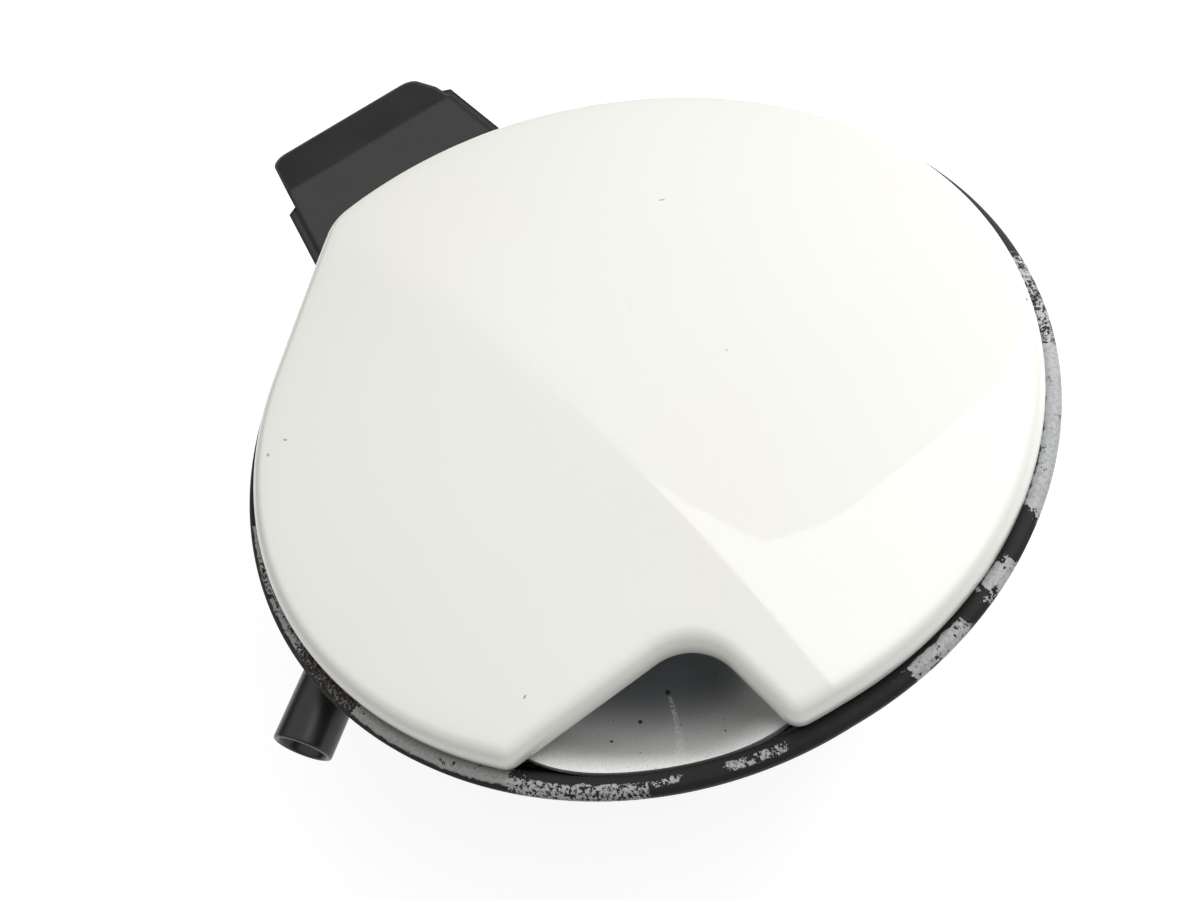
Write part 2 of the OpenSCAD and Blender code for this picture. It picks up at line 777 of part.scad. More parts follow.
// Section of the soft lip at a direction round the mouth
function lip_section(a) = let (z = lip_z(a), low = mouth_h - wall_top, foot = low - lip_leg + 2,
    r0 = lip_r - lip_w, w = wall_r(wall_top) + fit)
    [for (q = [[r0, low + fit], [w, low + fit], [w - taper * (low - foot), foot],
        [w - taper * (low - foot) + 1.6, foot - 0.4], [lip_r - 0.3, z - 3], [lip_r, z - 1.2],
        [lip_r - 0.9, z - 0.2], [lip_r - lip_w / 2, z], [r0 + 0.7, z - 0.2], [r0, z - 1]])
        [q[0] * cos(a), q[0] * sin(a), q[1]]];

module mouth_seal() {
    color("black") sweep([for (i = [0:95]) lip_section(i * 360 / 96)], true);
}

// Height of the scoop's face below the mouth plane, across (-1 to 1) and inwards (0 to 1)
function scoop_z(u, t) = let (
    dip = t < 0.65 ? pow(sin(90 * t / 0.65), 1.3) : 1 - 0.35 * pow((t - 0.65) / 0.35, 2))
    scoop_lip + scoop_dip * min(1, pow(t / 0.25, 2))
        + (scoop_deep - scoop_dip) * dip * pow(1 - pow(abs(u), 3), 0.7);
function scoop_r(u, t) = scoop_rim - scoop_bow * pow(abs(u), 4) - scoop_reach * t;
function scoop_section(u, n) = let (a = mix(scoop_low_az, scoop_high_az, (u + 1) / 2))
    [for (q = concat([for (i = [0:n]) [i / n, 0]], [for (i = [n:-1:0]) [i / n, scoop_t]]))
        let (r = scoop_r(u, q[0])) [r * cos(a), r * sin(a), mouth_h - scoop_z(u, q[0]) - q[1]]];

module finger_scoop() {
    color("gainsboro") sweep([for (i = [0:16]) scoop_section(-cos(i * 180 / 16), 14)], false);
}

module neck_collar() {
    z = floor_z;
    out = neck_r + neck_wall;
    foot = neck_r + collar_foot;
    color("black") rotate_extrude() polygon([[neck_r, 0], [foot, 0], [foot, collar_foot_t],
        [out, 1.7 * collar_foot_t], [out, z + fit], [out + collar_grip, z + fit],
        [out + collar_grip, z + collar_flange], [neck_r, z + collar_flange]]);
}

module neck_ring() {
    z = floor_z;
    step_r = neck_r + neck_wall + collar_grip + 0.3;
    color("dimgray") difference() {
        rotate_extrude() polygon([[ring_in, z + collar_flange + fit], [step_r, z + collar_flange + fit],
            [step_r, z + 0.02], [ring_out, z + 0.02], [ring_out, z + ring_t - 1], [ring_out - 1, z + ring_t],
            [ring_in, z + ring_t]]);
        ring_places() peg(screw_r + 0.2, z - cut, ring_t + 2 * cut);
    }
}

module ring_screws() {
    color("silver") ring_places() translate([0, 0, floor_z + ring_t]) screw(ring_bore);
}

module drain_spout() {
    color("black") spout_axis(0) difference() {
        union() {
            cylinder(r = spout_r, h = spout_out - fit);
            cylinder(r = spigot_r, h = spout_out + spigot_len - fit);
        }
        translate([0, 0, -cut]) cylinder(r = spout_bore, h = drain_len);
    }
}

module lock_bush() {
    color("ivory") difference() {
        union() {
            lock_bar(lock_r + bush_wall, lock_in, lock_out);
            lock_bar(lock_r + bush_wall + 2, lock_in, lock_in + 1.45);
        }
        lock_bar(lock_r, lock_in - cut, lock_out + cut);
    }
}

module buffer() {
    translate([buffer_pos, 0, 0]) {
        peg(buffer_stem, post_top - 7, 8);
        rotate_extrude() polygon([[0, post_top + 0.02], [buffer_r, post_top + 0.02],
            [buffer_r, buffer_top - 2], [buffer_r - 1.5, buffer_top], [0, buffer_top]]);
    }
}

module buffer_upper() { color("black") rotate([0, 0, buffer_az]) buffer(); }
module buffer_lower() { color("black") rotate([0, 0, -buffer_az]) buffer(); }

module body_clips() {
    color("silver") for (a = clip_azs) on_wall(a, clip_depth) translate([pad_t + 0.02, clip_w / 2, 1])
        rotate([90, 0, 0]) linear_extrude(clip_w) polygon([[0, 0], [clip_t, 0], [clip_t, clip_h - 2],
            [clip_barb - clip_t, clip_h - 7], [clip_barb, clip_h - 6.6], [1.5 * clip_t, clip_h],
            [0, clip_h]]);
}

flap_skin();
flap_carrier();
hinge_arm();
arm_screws();
hinge_pin();
pin_clip();
latch_tongue();
tongue_screws();
housing();
hinge_box_cover();
cover_screws();
hinge_bush_left();
hinge_bush_right();
leaf_spring();
mouth_seal();
finger_scoop();
neck_collar();
neck_ring();
ring_screws();
drain_spout();
lock_bush();
buffer_upper();
buffer_lower();
body_clips();
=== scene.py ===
"""Dresses a car's fuel filler flap: paint, soft lip, finger scoop, drain spout, screws and a pale stage."""

import math

import bmesh
import bpy
import numpy as np
from bpy.props import FloatProperty, FloatVectorProperty, IntProperty
from mathutils import Matrix, Vector


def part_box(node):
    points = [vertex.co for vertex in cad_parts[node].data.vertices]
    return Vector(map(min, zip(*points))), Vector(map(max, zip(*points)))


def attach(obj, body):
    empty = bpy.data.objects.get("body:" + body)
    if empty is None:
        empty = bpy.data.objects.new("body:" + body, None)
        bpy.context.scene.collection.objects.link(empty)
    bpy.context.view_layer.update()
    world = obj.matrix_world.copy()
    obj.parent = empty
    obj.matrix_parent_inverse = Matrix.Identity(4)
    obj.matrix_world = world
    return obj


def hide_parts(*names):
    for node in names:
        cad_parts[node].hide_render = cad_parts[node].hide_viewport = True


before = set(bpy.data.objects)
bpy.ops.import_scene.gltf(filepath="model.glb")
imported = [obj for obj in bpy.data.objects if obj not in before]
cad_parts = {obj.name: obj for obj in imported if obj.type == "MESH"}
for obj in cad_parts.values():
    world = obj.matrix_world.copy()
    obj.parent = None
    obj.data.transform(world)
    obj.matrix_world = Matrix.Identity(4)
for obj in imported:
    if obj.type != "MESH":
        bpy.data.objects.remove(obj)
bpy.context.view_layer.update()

bl_info = {
    "name": "Fuel Filler Flap",
    "version": (1, 0, 0),
    "blender": (4, 5, 0),
    "location": "View3D > Sidebar > Filler Flap",
    "description": "Builds the painted surfaces, lip, scoop, spout and screws of a fuel filler flap",
    "category": "Object",
}

LIP_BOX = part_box("mouth_seal")
SPOUT_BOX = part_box("drain_spout")

# Paint left on the soft lip: azimuth from and to in degrees, cover, grain, dirt, radius from and to in mm.
RESIDUE = [
    (-108.0, -83.0, 0.58, 0.45, 0.25, 87.0, 91.0),
    (-83.0, -70.5, 0.46, 0.95, 0.95, 87.0, 91.4),
    (-70.5, -45.0, 0.92, 0.25, 0.32, 87.0, 91.3),
    (-45.0, -29.0, 0.56, 0.90, 0.10, 89.4, 92.6),
    (-26.8, -24.7, 0.55, 0.40, 0.00, 89.2, 90.6),
    (-19.4, -11.4, 0.55, 0.35, 0.00, 89.0, 91.0),
    (5.5, 13.6, 0.72, 0.30, 0.00, 89.3, 92.6),
    (18.8, 23.8, 0.85, 0.30, 0.00, 88.6, 92.6),
    (31.0, 57.0, 0.80, 0.40, 0.00, 88.6, 92.6),
    (57.0, 64.0, 0.55, 0.80, 0.00, 88.4, 92.6),
    (64.0, 74.0, 0.52, 0.50, 0.00, 88.4, 92.6),
]

# Fixed tones: glow and empty, marks on the flap, wear of the scoop with its painted shade and painted glint,
# dust on rubber, worn paint on the lip.
WHITE, NOTHING = (1, 1, 1, 1), (0, 0, 0, 1)
FLAP_DUST, FLAP_MARK = (0.42, 0.40, 0.36, 1), (0.20, 0.20, 0.19, 1)
# Scoop: a bluish grey of painted shade, then haze and dust; next line, dark chips and the white of a painted
# glint.
SCOOP_PAINTED_SHADE, SCOOP_HAZE, SCOOP_DUST = (0.26, 0.28, 0.30, 1), (0.42, 0.41, 0.38, 1), (0.12, 0.12, 0.12, 1)
SCOOP_CHIP, SCOOP_GLINT = (0.012, 0.012, 0.012, 1), (0.98, 0.98, 0.98, 1)
RUBBER_DUST, LIP_DUST, LIP_WORN = (0.07, 0.068, 0.064, 1), (0.03, 0.03, 0.028, 1), (0.20, 0.20, 0.20, 1)
FLOOR_BOUNCE = (0.75, 0.75, 0.75, 1)

# Stage: the camera's right, up and back, the side lamp, the floor and the overhead panel, in metres.
CAMERA_AXES = [(0.4911, 0.8369, -0.2416), (-0.6482, 0.5364, 0.5405), (0.582, -0.1088, 0.8059)]
LAMP_PLACE, LAMP_AIM = Vector((-0.45, 1.2, 0.62)), Vector((0, 0, 0.08))
FLOOR_CORNERS = [(-3.0, -3.0), (3.0, -3.0), (3.0, 3.0), (-3.0, 3.0)]
PANEL_HEIGHT = 0.876
PANEL_CORNERS = [(-0.43, 0.03), (-0.425, 0.158), (-0.371, 0.183), (-0.288, 0.207), (-0.265, 0.253),
                 (-0.264, 0.294), (-0.29, 0.448), (-0.331, 0.62), (-0.36, 0.8), (0.6, 0.8), (0.6, 0.03)]

# Slope of the hinge box's cover and azimuth where the flap's edge leaves the circle, in degrees.
COVER_SLOPE = 50.28
BULGE_AZIMUTH = 108

# Chips and dust on the flap and chips on the scoop: x, y, half length and half width in mm, turn in degrees.
FLAP_MARKS = [
    (-36.6, 34.4, 0.8, 0.22, 62), (53.3, -53.8, 0.55, 0.28, 110), (-36.4, -75.5, 0.6, 0.35, 0),
    (-37.2, -70.4, 0.7, 0.3, 40), (39.8, 77.8, 0.4, 0.3, 0), (12.0, 21.0, 0.25, 0.2, 0),
]
SCOOP_MARKS = [
    (56.2, -29.2, 0.75, 0.55, 0), (59.7, -37.5, 0.6, 0.5, 0), (62.3, -44.5, 0.45, 0.35, 0),
    (75.2, -24.9, 0.4, 0.3, 0), (70.0, -41.0, 0.25, 0.2, 0), (66.0, -31.0, 0.22, 0.2, 0),
]


def metres(name, text, value, **more):
    return FloatProperty(name=name, description=text, default=value, unit="LENGTH", **more)


def number(name, text, value):
    return FloatProperty(name=name, description=text, default=value)


def whole(name, text, value):
    return IntProperty(name=name, description=text, default=value)


def tint(name, what, value):
    return FloatVectorProperty(name=name, description="Colour of the " + what, default=value, subtype="COLOR")


class FlapForm(bpy.types.PropertyGroup):
    """Form of the painted flap and its finger notch."""

    mouth: metres("Mouth Height", "Height of the mouth plane", 0.076)
    radius: metres("Radius", "Radius of the flap's round edge", 0.0887)
    bulge: metres("Hinge Bulge", "How far the hinge edge stands out", 0.0102)
    bow: metres("Hinge Bow", "Radius of the bowed hinge edge", 0.095)
    bow_y: metres("Hinge Bow Middle", "Place where the hinge edge stands out most", -0.011)
    bow_turn: number("Hinge Bow Angle", "Angle of the bow to its corner in degrees", 10.5)
    peak: metres("Peak", "Height of the middle above the mouth plane", 0.011)
    crown: metres("Crown", "Fall from the middle to the round edge", 0.0035)
    fall_low: metres("Lower Fall", "Fall of the crease's lower side", 0.0022)
    fall_high: metres("Upper Fall", "Fall of the crease's upper side", 0.0012)
    reach: metres("Fold Reach", "Distance over which a side falls", 0.028)
    crease_mid: metres("Crease Middle", "Place of the crease beside the middle", -0.0129)
    crease_lean: number("Crease Lean", "Slope of the crease at the middle", 0.142)
    crease_bend: number("Crease Bend", "Curve of the crease, per metre", -0.64)
    sharp: metres("Crease Edge", "Radius of the crease at the notch", 0.0005, precision=5)
    soften: metres("Crease Softening", "Growth of that radius towards the hinge", 0.011)
    edge_h: metres("Edge Depth", "Depth of the turned-down edge", 0.0052)
    edge_round: metres("Edge Rounding", "Radius of the rounded edge", 0.0035)
    edge_wall: metres("Edge Wall", "Wall of the turned-down edge", 0.0022)
    skin: metres("Skin", "Wall of the skin", 0.0025)
    notch_x: metres("Notch Distance", "Distance of the notch's long side", 0.0612)
    notch_y: metres("Notch Side", "Place of the notch's short side", -0.0184)
    notch_slope: number("Notch Slope", "Slope of the short side in degrees", 9.0)
    notch_lean: number("Notch Lean", "Direction of the long side's normal in degrees", 181.0)
    notch_r: metres("Notch Radius", "Radius of the notch's inner corner", 0.0112)
    tip_r: metres("Tip Radius", "Radius of the notch's outer corners", 0.004)
    corner_r: metres("Corner Radius", "Radius of the hinge edge's corner", 0.0145)
    rings: whole("Rings", "Rings of faces from the middle to the edge", 22)


class LipForm(bpy.types.PropertyGroup):
    """Form of the soft lip round the mouth."""

    radius: metres("Radius", "Outer radius of the lip", LIP_BOX[1].x)
    width: metres("Width", "Radial width at the top", 0.0045)
    gap: metres("Gap", "Clearance under the closed flap", 0.0008, precision=5)
    foot: metres("Foot", "Height of the outer leg's foot", LIP_BOX[0].z)
    wall_top: metres("Wall Top", "Depth of the bowl's top edge", 0.0035)
    taper: number("Taper", "Inward lean of the bowl wall", 0.42)
    steps: whole("Steps", "Sections round the mouth", 360)


class ScoopForm(bpy.types.PropertyGroup):
    """Form of the painted finger scoop."""

    first: number("First Azimuth", "Where the scoop starts, in degrees", -45.0)
    last: number("Last Azimuth", "Where the scoop ends, in degrees", -9.0)
    rim: metres("Rim", "Radius of the outer edge", 0.087)
    reach: metres("Reach", "Depth towards the middle", 0.040)
    deep: metres("Depth", "Depth of the deepest point", 0.020)
    wall: metres("Wall", "Wall of the scoop", 0.002)
    steps: whole("Steps", "Faces across the scoop", 72)


class SpoutForm(bpy.types.PropertyGroup):
    """Form of the drain spout."""

    outer: metres("Outer Radius", "Outer radius of the spout", (SPOUT_BOX[1].z - SPOUT_BOX[0].z) / 2)
    bore: metres("Bore Radius", "Bore radius", 0.0056)
    length: metres("Length", "Length outside the socket", 0.0209)
    spigot: metres("Spigot Radius", "Radius inside the socket", 0.0065)
    seat: metres("Spigot Length", "Length inside the socket", 0.011)
    azimuth: number("Azimuth", "Direction of the spout in degrees", -48.7)
    tip_x: metres("Tip X", "Tip of the axis along X", 0.014815)
    tip_y: metres("Tip Y", "Tip of the axis along Y", -0.103985)


class ScrewForm(bpy.types.PropertyGroup):
    """Form of the pan-head screws."""

    head_r: metres("Head Radius", "Radius of the head", 0.003)
    head_h: metres("Head Height", "Height of the head", 0.0018)
    shank_r: metres("Shank Radius", "Radius of the shank", 0.0015)
    recess: metres("Recess", "Depth of the cross recess", 0.001)


class Colours(bpy.types.PropertyGroup):
    """Base colours of the finishes."""

    white: tint("Flap Paint", "flap's paint", (0.865, 0.86, 0.812))
    scoop: tint("Scoop Paint", "scoop's paint", (0.84, 0.84, 0.82))
    housing: tint("Housing", "black moulding", (0.012, 0.0118, 0.0112))
    lip: tint("Soft Lip", "lip", (0.008, 0.008, 0.008))
    silver: tint("Paint Residue", "paint on the lip", (0.44, 0.45, 0.45))
    dirt: tint("Dirt", "brown dirt", (0.16, 0.125, 0.09))
    spout: tint("Spout", "spout", (0.010, 0.010, 0.010))
    nylon: tint("Nylon", "natural nylon", (0.68, 0.64, 0.53))
    zinc: tint("Zinc", "zinc plating", (0.62, 0.63, 0.62))
    spring: tint("Spring Steel", "spring steel", (0.22, 0.22, 0.24))


class StageForm(bpy.types.PropertyGroup):
    """Camera, lamps and floor."""

    camera: FloatVectorProperty(name="Camera", description="Place of the camera", subtype="TRANSLATION",
                                default=(0.17464, -0.04348, 0.30543))
    lens: number("Lens", "Focal length in millimetres", 39.0)
    world: number("World", "Strength of the surroundings", 0.40)
    horizon: number("Horizon", "Part of it that a gloss shows near the horizon", 0.08)
    key: number("Key", "Power of the side lamp in watts", 12.0)
    panel: number("Panel", "Strength of the overhead panel", 2.5)
    floor_glow: number("Floor Glow", "White that the camera sees on the floor", 0.87)
    floor_grey: number("Floor Grey", "Part of the floor that takes shadows", 0.26)


class Net:
    """Adds nodes to a tree and wires them, so that a formula reads in a few lines."""

    def __init__(self, tree):
        self.tree = tree

    def add(self, kind, inputs=None, **settings):
        node = self.tree.nodes.new(kind)
        for key, value in settings.items():
            setattr(node, key, value)
        for key, value in (inputs or {}).items():
            self.feed(node.inputs[key], value)
        return node

    def feed(self, socket, value):
        if isinstance(value, bpy.types.NodeSocket):
            self.tree.links.new(value, socket)
        else:
            socket.default_value = value

    def math(self, operation, *values):
        node = self.add("ShaderNodeMath", operation=operation)
        for socket, value in zip(node.inputs, values):
            self.feed(socket, value)
        return node.outputs[0]

    def times(self, first, second):
        return self.math("MULTIPLY", first, second)

    def step(self, value, start, end):
        """Goes from 0 to 1 as value goes from start to end."""
        node = self.add("ShaderNodeMapRange", {"Value": value, "From Min": start, "From Max": end},
                        interpolation_type="SMOOTHSTEP")
        return node.outputs["Result"]

    def mix(self, share, first, second):
        """Colour between first and second."""
        node = self.add("ShaderNodeMix", data_type="RGBA")
        self.feed(node.inputs[0], share)
        self.feed(node.inputs[6], first)
        self.feed(node.inputs[7], second)
        return node.outputs[2]


class Finish(Net):
    """A procedural material read from Object coordinates."""

    def __init__(self, name):
        self.material = bpy.data.materials.new(name)
        self.material.use_nodes = True
        super().__init__(self.material.node_tree)
        self.shader = self.tree.nodes["Principled BSDF"]
        self.place = self.add("ShaderNodeTexCoord").outputs["Object"]
        split = self.add("ShaderNodeSeparateXYZ", {"Vector": self.place})
        self.x, self.y, _ = split.outputs

    def noise(self, scale, detail=3.0, roughness=0.5, on=None):
        node = self.add("ShaderNodeTexNoise", {"Vector": on or self.place, "Scale": scale, "Detail": detail,
                                               "Roughness": roughness})
        return node.outputs["Fac"]

    def set(self, **values):
        names = {"color": "Base Color", "roughness": "Roughness", "metallic": "Metallic", "ior": "IOR",
                 "coat": "Coat Weight", "coat_roughness": "Coat Roughness", "normal": "Normal"}
        for key, value in values.items():
            self.feed(self.shader.inputs[names[key]], value)

    def bump(self, height, distance, strength=1.0, after=None):
        node = self.add("ShaderNodeBump", {"Height": height, "Distance": distance, "Strength": strength})
        if after is not None:
            self.feed(node.inputs["Normal"], after)
        return node.outputs["Normal"]

    def soft_edges(self, radius):
        """Normals that round the sharp edges of a moulding."""
        return self.add("ShaderNodeBevel", {"Radius": radius}, samples=4).outputs["Normal"]

    def local(self, x, y, degrees, scale=(1, 1, 1)):
        """Coordinates moved, turned and scaled to a mark's own axes."""
        node = self.add("ShaderNodeMapping", {"Vector": self.place, "Location": (x, y, 0), "Scale": scale,
                                              "Rotation": (0, 0, math.radians(degrees))},
                        vector_type="TEXTURE")
        return node.outputs[0]

    def from_axis(self):
        """Distance from the Z axis."""
        squares = [self.times(value, value) for value in (self.x, self.y)]
        return self.math("SQRT", self.math("ADD", *squares))

    def marks(self, places):
        """Mask of small oval marks at given places on the surface, seen along Z."""
        total = 0.0
        wobble = self.math("MULTIPLY_ADD", self.noise(2500.0), 1.2, 0.4)
        for x, y, length, width, turn in places:
            own = self.local(x / 1000, y / 1000, turn, (length / 1000, width / 1000, 1))
            flat = self.add("ShaderNodeVectorMath", {0: own, 1: (1, 1, 0)}, operation="MULTIPLY").outputs[0]
            far = self.add("ShaderNodeVectorMath", {0: flat}, operation="LENGTH").outputs["Value"]
            spot = self.step(self.times(far, wobble), 1.0, 0.7)
            total = self.math("MAXIMUM", spot, total)
        return total


class Form(Net):
    """A geometry node tree with named sizes, which ends in a painted mesh."""

    def __init__(self, name, sizes):
        super().__init__(bpy.data.node_groups.new(name, "GeometryNodeTree"))
        rows = [("Geometry", "Geometry", None)] + sizes + [("Finish", "Material", None)]
        for label, kind, value in rows:
            socket = self.tree.interface.new_socket(label, in_out="INPUT", socket_type="NodeSocket" + kind)
            if value is not None:
                socket.default_value = value
        self.tree.interface.new_socket("Geometry", in_out="OUTPUT", socket_type="NodeSocketGeometry")
        self.size = self.add("NodeGroupInput").outputs

    def attribute(self, name, kind="FLOAT_VECTOR"):
        """Value that a mesh carries for each point."""
        node = self.add("GeometryNodeInputNamedAttribute", {"Name": name}, data_type=kind)
        return node.outputs["Attribute"]

    def painted(self, geometry):
        """Ends the tree with this geometry made real and given its finish."""
        real = self.add("GeometryNodeRealizeInstances", {"Geometry": geometry})
        painted = self.add("GeometryNodeSetMaterial", {"Geometry": real.outputs[0],
                                                       "Material": self.size["Finish"]})
        self.add("NodeGroupOutput", {"Geometry": painted.outputs[0]})
        return self.tree


def heading(degrees):
    return np.array([math.cos(math.radians(degrees)), math.sin(math.radians(degrees))])


def left_of(step):
    """Unit normal to the left of a step."""
    return np.array([-step[1], step[0]]) / np.linalg.norm(step)


def arc(centre, radius, start, end, steps):
    """Points of an arc, each with the normal to the left of its travel."""
    side = -1 if end > start else 1
    turns = np.linspace(start, end, steps + 1)
    return [(centre + radius * heading(turn), side * heading(turn)) for turn in turns]


def line(start, end, steps):
    """Points between two ends, with their normals."""
    return [(start + (end - start) * k / steps, left_of(end - start)) for k in range(1, steps)]


def bezier(p, steps):
    """Points between the ends of a cubic curve, with their normals."""
    rows = []
    for t in np.linspace(0, 1, steps + 1)[1:-1]:
        place = p[0] * (1 - t) ** 3 + p[1] * 3 * t * (1 - t) ** 2 + p[2] * 3 * t * t * (1 - t) + p[3] * t ** 3
        step = (p[1] - p[0]) * (1 - t) ** 2 + (p[2] - p[1]) * 2 * t * (1 - t) + (p[3] - p[2]) * t * t
        rows.append((place, left_of(step)))
    return rows


def crossing(first, first_off, second, second_off):
    """Point at given distances along two directions."""
    a, b = math.radians(first), math.radians(second)
    x = first_off * math.sin(b) - second_off * math.sin(a)
    y = second_off * math.cos(a) - first_off * math.cos(b)
    return np.array([x, y]) / math.sin(b - a)


def tip_centre(form, normal, off, side):
    """Centre of a notch's outer corner, inside the flap's circle and beside a flank."""
    along = math.sqrt((form.radius - form.tip_r) ** 2 - (off + form.tip_r) ** 2)
    return (off + form.tip_r) * heading(normal) + side * along * heading(normal - 90)


def azimuth(point):
    return math.degrees(math.atan2(point[1], point[0]))


def crease_y(form, x):
    """Place of the crease at x."""
    return form.crease_mid + form.crease_lean * x + form.crease_bend * x * x


def flap_outline(form):
    """Outline of the flap seen along Z and its inward normals, from the notch's upper corner."""
    r = form.radius
    edge = np.array([-(r + form.bulge), form.bow_y])
    bow = edge + [form.bow, 0]
    bow_end = 180 + form.bow_turn
    corner = bow + (form.bow - form.corner_r) * heading(bow_end)
    short_n, long_n = 90 + form.notch_slope, form.notch_lean
    short_off = np.dot([form.notch_x + 0.008, form.notch_y], heading(short_n))
    long_off = np.dot([form.notch_x, -0.030], heading(long_n))
    high = tip_centre(form, short_n, short_off, 1)
    low = tip_centre(form, long_n, long_off, -1)
    inner = crossing(short_n, short_off - form.notch_r, long_n, long_off - form.notch_r)
    high_az, low_az = azimuth(high), azimuth(low) + 360
    apart = math.degrees(math.acos((r - form.corner_r) / np.linalg.norm(corner)))
    corner_az = 180 + math.degrees(math.atan2(-corner[1], -corner[0])) + apart
    crease_az = math.degrees(math.asin(crease_y(form, r) / r))
    start = r * heading(BULGE_AZIMUTH)
    curve = [start, start + 0.040 * heading(BULGE_AZIMUTH + 90), edge + [0, 0.044], edge]
    origin = np.zeros(2)
    parts = [
        arc(origin, r, high_az, crease_az - 1.2, 6)[:-1],
        arc(origin, r, crease_az - 1.2, crease_az + 2.4, 15)[:-1],
        arc(origin, r, crease_az + 2.4, BULGE_AZIMUTH, 96),
        bezier(curve, 56),
        arc(bow, form.bow, 180, bow_end, 16)[:-1],
        arc(corner, form.corner_r, bow_end, corner_az, 24),
        line(corner + form.corner_r * heading(corner_az), r * heading(corner_az), 10),
        arc(origin, r, corner_az, low_az, 72)[:-1],
        arc(low, form.tip_r, low_az, long_n + 180, 20),
        line(low + form.tip_r * heading(long_n + 180), inner + form.notch_r * heading(long_n), 24),
        arc(inner, form.notch_r, long_n, short_n, 24),
        line(inner + form.notch_r * heading(short_n), high - form.tip_r * heading(short_n), 14),
        arc(high, form.tip_r, short_n - 180, high_az, 16)[:-1],
    ]
    rows = [row for part in parts for row in part]
    return np.array([place for place, _ in rows]), np.array([normal for _, normal in rows])


def crowned_tree(form):
    """Geometry nodes that lift a flat mesh onto the flap's crowned and creased surface."""
    sizes = {"Height": form.mouth + form.peak, "Crown": form.crown, "Radius": form.radius,
             "Crease Middle": form.crease_mid, "Crease Lean": form.crease_lean,
             "Crease Bend": form.crease_bend, "Crease Edge": form.sharp, "Crease Softening": form.soften,
             "Upper Fall": form.fall_high, "Lower Fall": form.fall_low, "Fold Reach": form.reach}
    net = Form("Crowned Surface", [(name, "Float", value) for name, value in sizes.items()])
    m, times, size = net.math, net.times, net.size
    x, y, _ = net.add("ShaderNodeSeparateXYZ", {"Vector": net.attribute("over")}).outputs
    lean = m("MULTIPLY_ADD", x, size["Crease Bend"], size["Crease Lean"])
    side = m("SUBTRACT", y, m("MULTIPLY_ADD", x, lean, size["Crease Middle"]))
    behind = m("SUBTRACT", times(size["Radius"], 0.5), x)
    share = m("MAXIMUM", m("DIVIDE", behind, times(size["Radius"], 1.5)), 0.0)
    soft = m("MULTIPLY_ADD", m("POWER", share, 1.5), size["Crease Softening"], size["Crease Edge"])
    reach = m("SQRT", m("ADD", times(side, side), times(soft, soft)))
    away = m("SUBTRACT", reach, soft)
    upper = m("GREATER_THAN", side, 0.0)
    fall = m("MULTIPLY_ADD", upper, m("SUBTRACT", size["Upper Fall"], size["Lower Fall"]), size["Lower Fall"])
    fade = m("SUBTRACT", 1.0, m("EXPONENT", m("DIVIDE", times(away, -1.0), size["Fold Reach"])))
    out = m("DIVIDE", m("ADD", times(x, x), times(y, y)),
            times(size["Radius"], size["Radius"]))
    height = m("SUBTRACT", size["Height"], m("MULTIPLY_ADD", out, size["Crown"], times(fall, fade)))
    lift = net.add("ShaderNodeCombineXYZ", {"Z": times(height, net.attribute("follow", "FLOAT"))})
    moved = net.add("GeometryNodeSetPosition", {"Geometry": size["Geometry"], "Offset": lift.outputs[0]})
    smooth = net.add("GeometryNodeSetShadeSmooth", {"Geometry": moved.outputs[0]})
    return net.painted(smooth.outputs[0])


def put(name, mesh):
    """A new object with this mesh, at the origin."""
    piece = bpy.data.objects.new(name, mesh)
    bpy.context.scene.collection.objects.link(piece)
    return piece


def plain_mesh(name, tree, mesh, values):
    """Runs a node tree on a mesh and returns the result as a piece without modifiers."""
    source = put(name + "_source", mesh)
    nodes = source.modifiers.new("Form", "NODES")
    nodes.node_group = tree
    for item in tree.interface.items_tree:
        if item.item_type == "SOCKET" and item.in_out == "INPUT" and item.name in values:
            nodes[item.identifier] = values[item.name]
    result = source.evaluated_get(bpy.context.evaluated_depsgraph_get())
    made = bpy.data.meshes.new_from_object(result)
    made.name = name
    source.modifiers.remove(nodes)
    bpy.data.objects.remove(source)
    return put(name, made)


def ring_mesh(name, rings, first=None, last=None, closed=False):
    """Mesh through rings of equal length, with end points, or with the rings joined into a loop."""
    count = len(rings[0])
    verts = [tuple(p) for ring in rings for p in ring]
    faces = []
    for k in range(len(rings) if closed else len(rings) - 1):
        a, b = k * count, (k + 1) % len(rings) * count
        faces += [(a + i, a + (i + 1) % count, b + (i + 1) % count, b + i) for i in range(count)]
    if first is not None:
        verts.append(tuple(first))
        faces += [(len(verts) - 1, (i + 1) % count, i) for i in range(count)]
    if last is not None:
        verts.append(tuple(last))
        a = (len(rings) - 1) * count
        faces += [(len(verts) - 1, a + i, a + (i + 1) % count) for i in range(count)]
    mesh = bpy.data.meshes.new(name)
    mesh.from_pydata(verts, [], faces)
    return mesh


def outside(mesh, smooth=True):
    """Closes a mesh, turns its faces outwards and smooths them or leaves them flat."""
    work = bmesh.new()
    work.from_mesh(mesh)
    bmesh.ops.holes_fill(work, edges=[edge for edge in work.edges if edge.is_boundary], sides=0)
    bmesh.ops.recalc_face_normals(work, faces=work.faces)
    for face in work.faces:
        face.smooth = smooth
    work.to_mesh(mesh)
    work.free()


def note(mesh, name, kind, values):
    """Stores a value for each vertex."""
    layer = mesh.attributes.new(name, kind, "POINT")
    layer.data.foreach_set("vector" if kind == "FLOAT_VECTOR" else "value", np.ravel(values))


def sharp_edges(piece, degrees):
    """Smooth faces with sharp edges above an angle."""
    piece.data.set_sharp_from_angle(angle=math.radians(degrees))


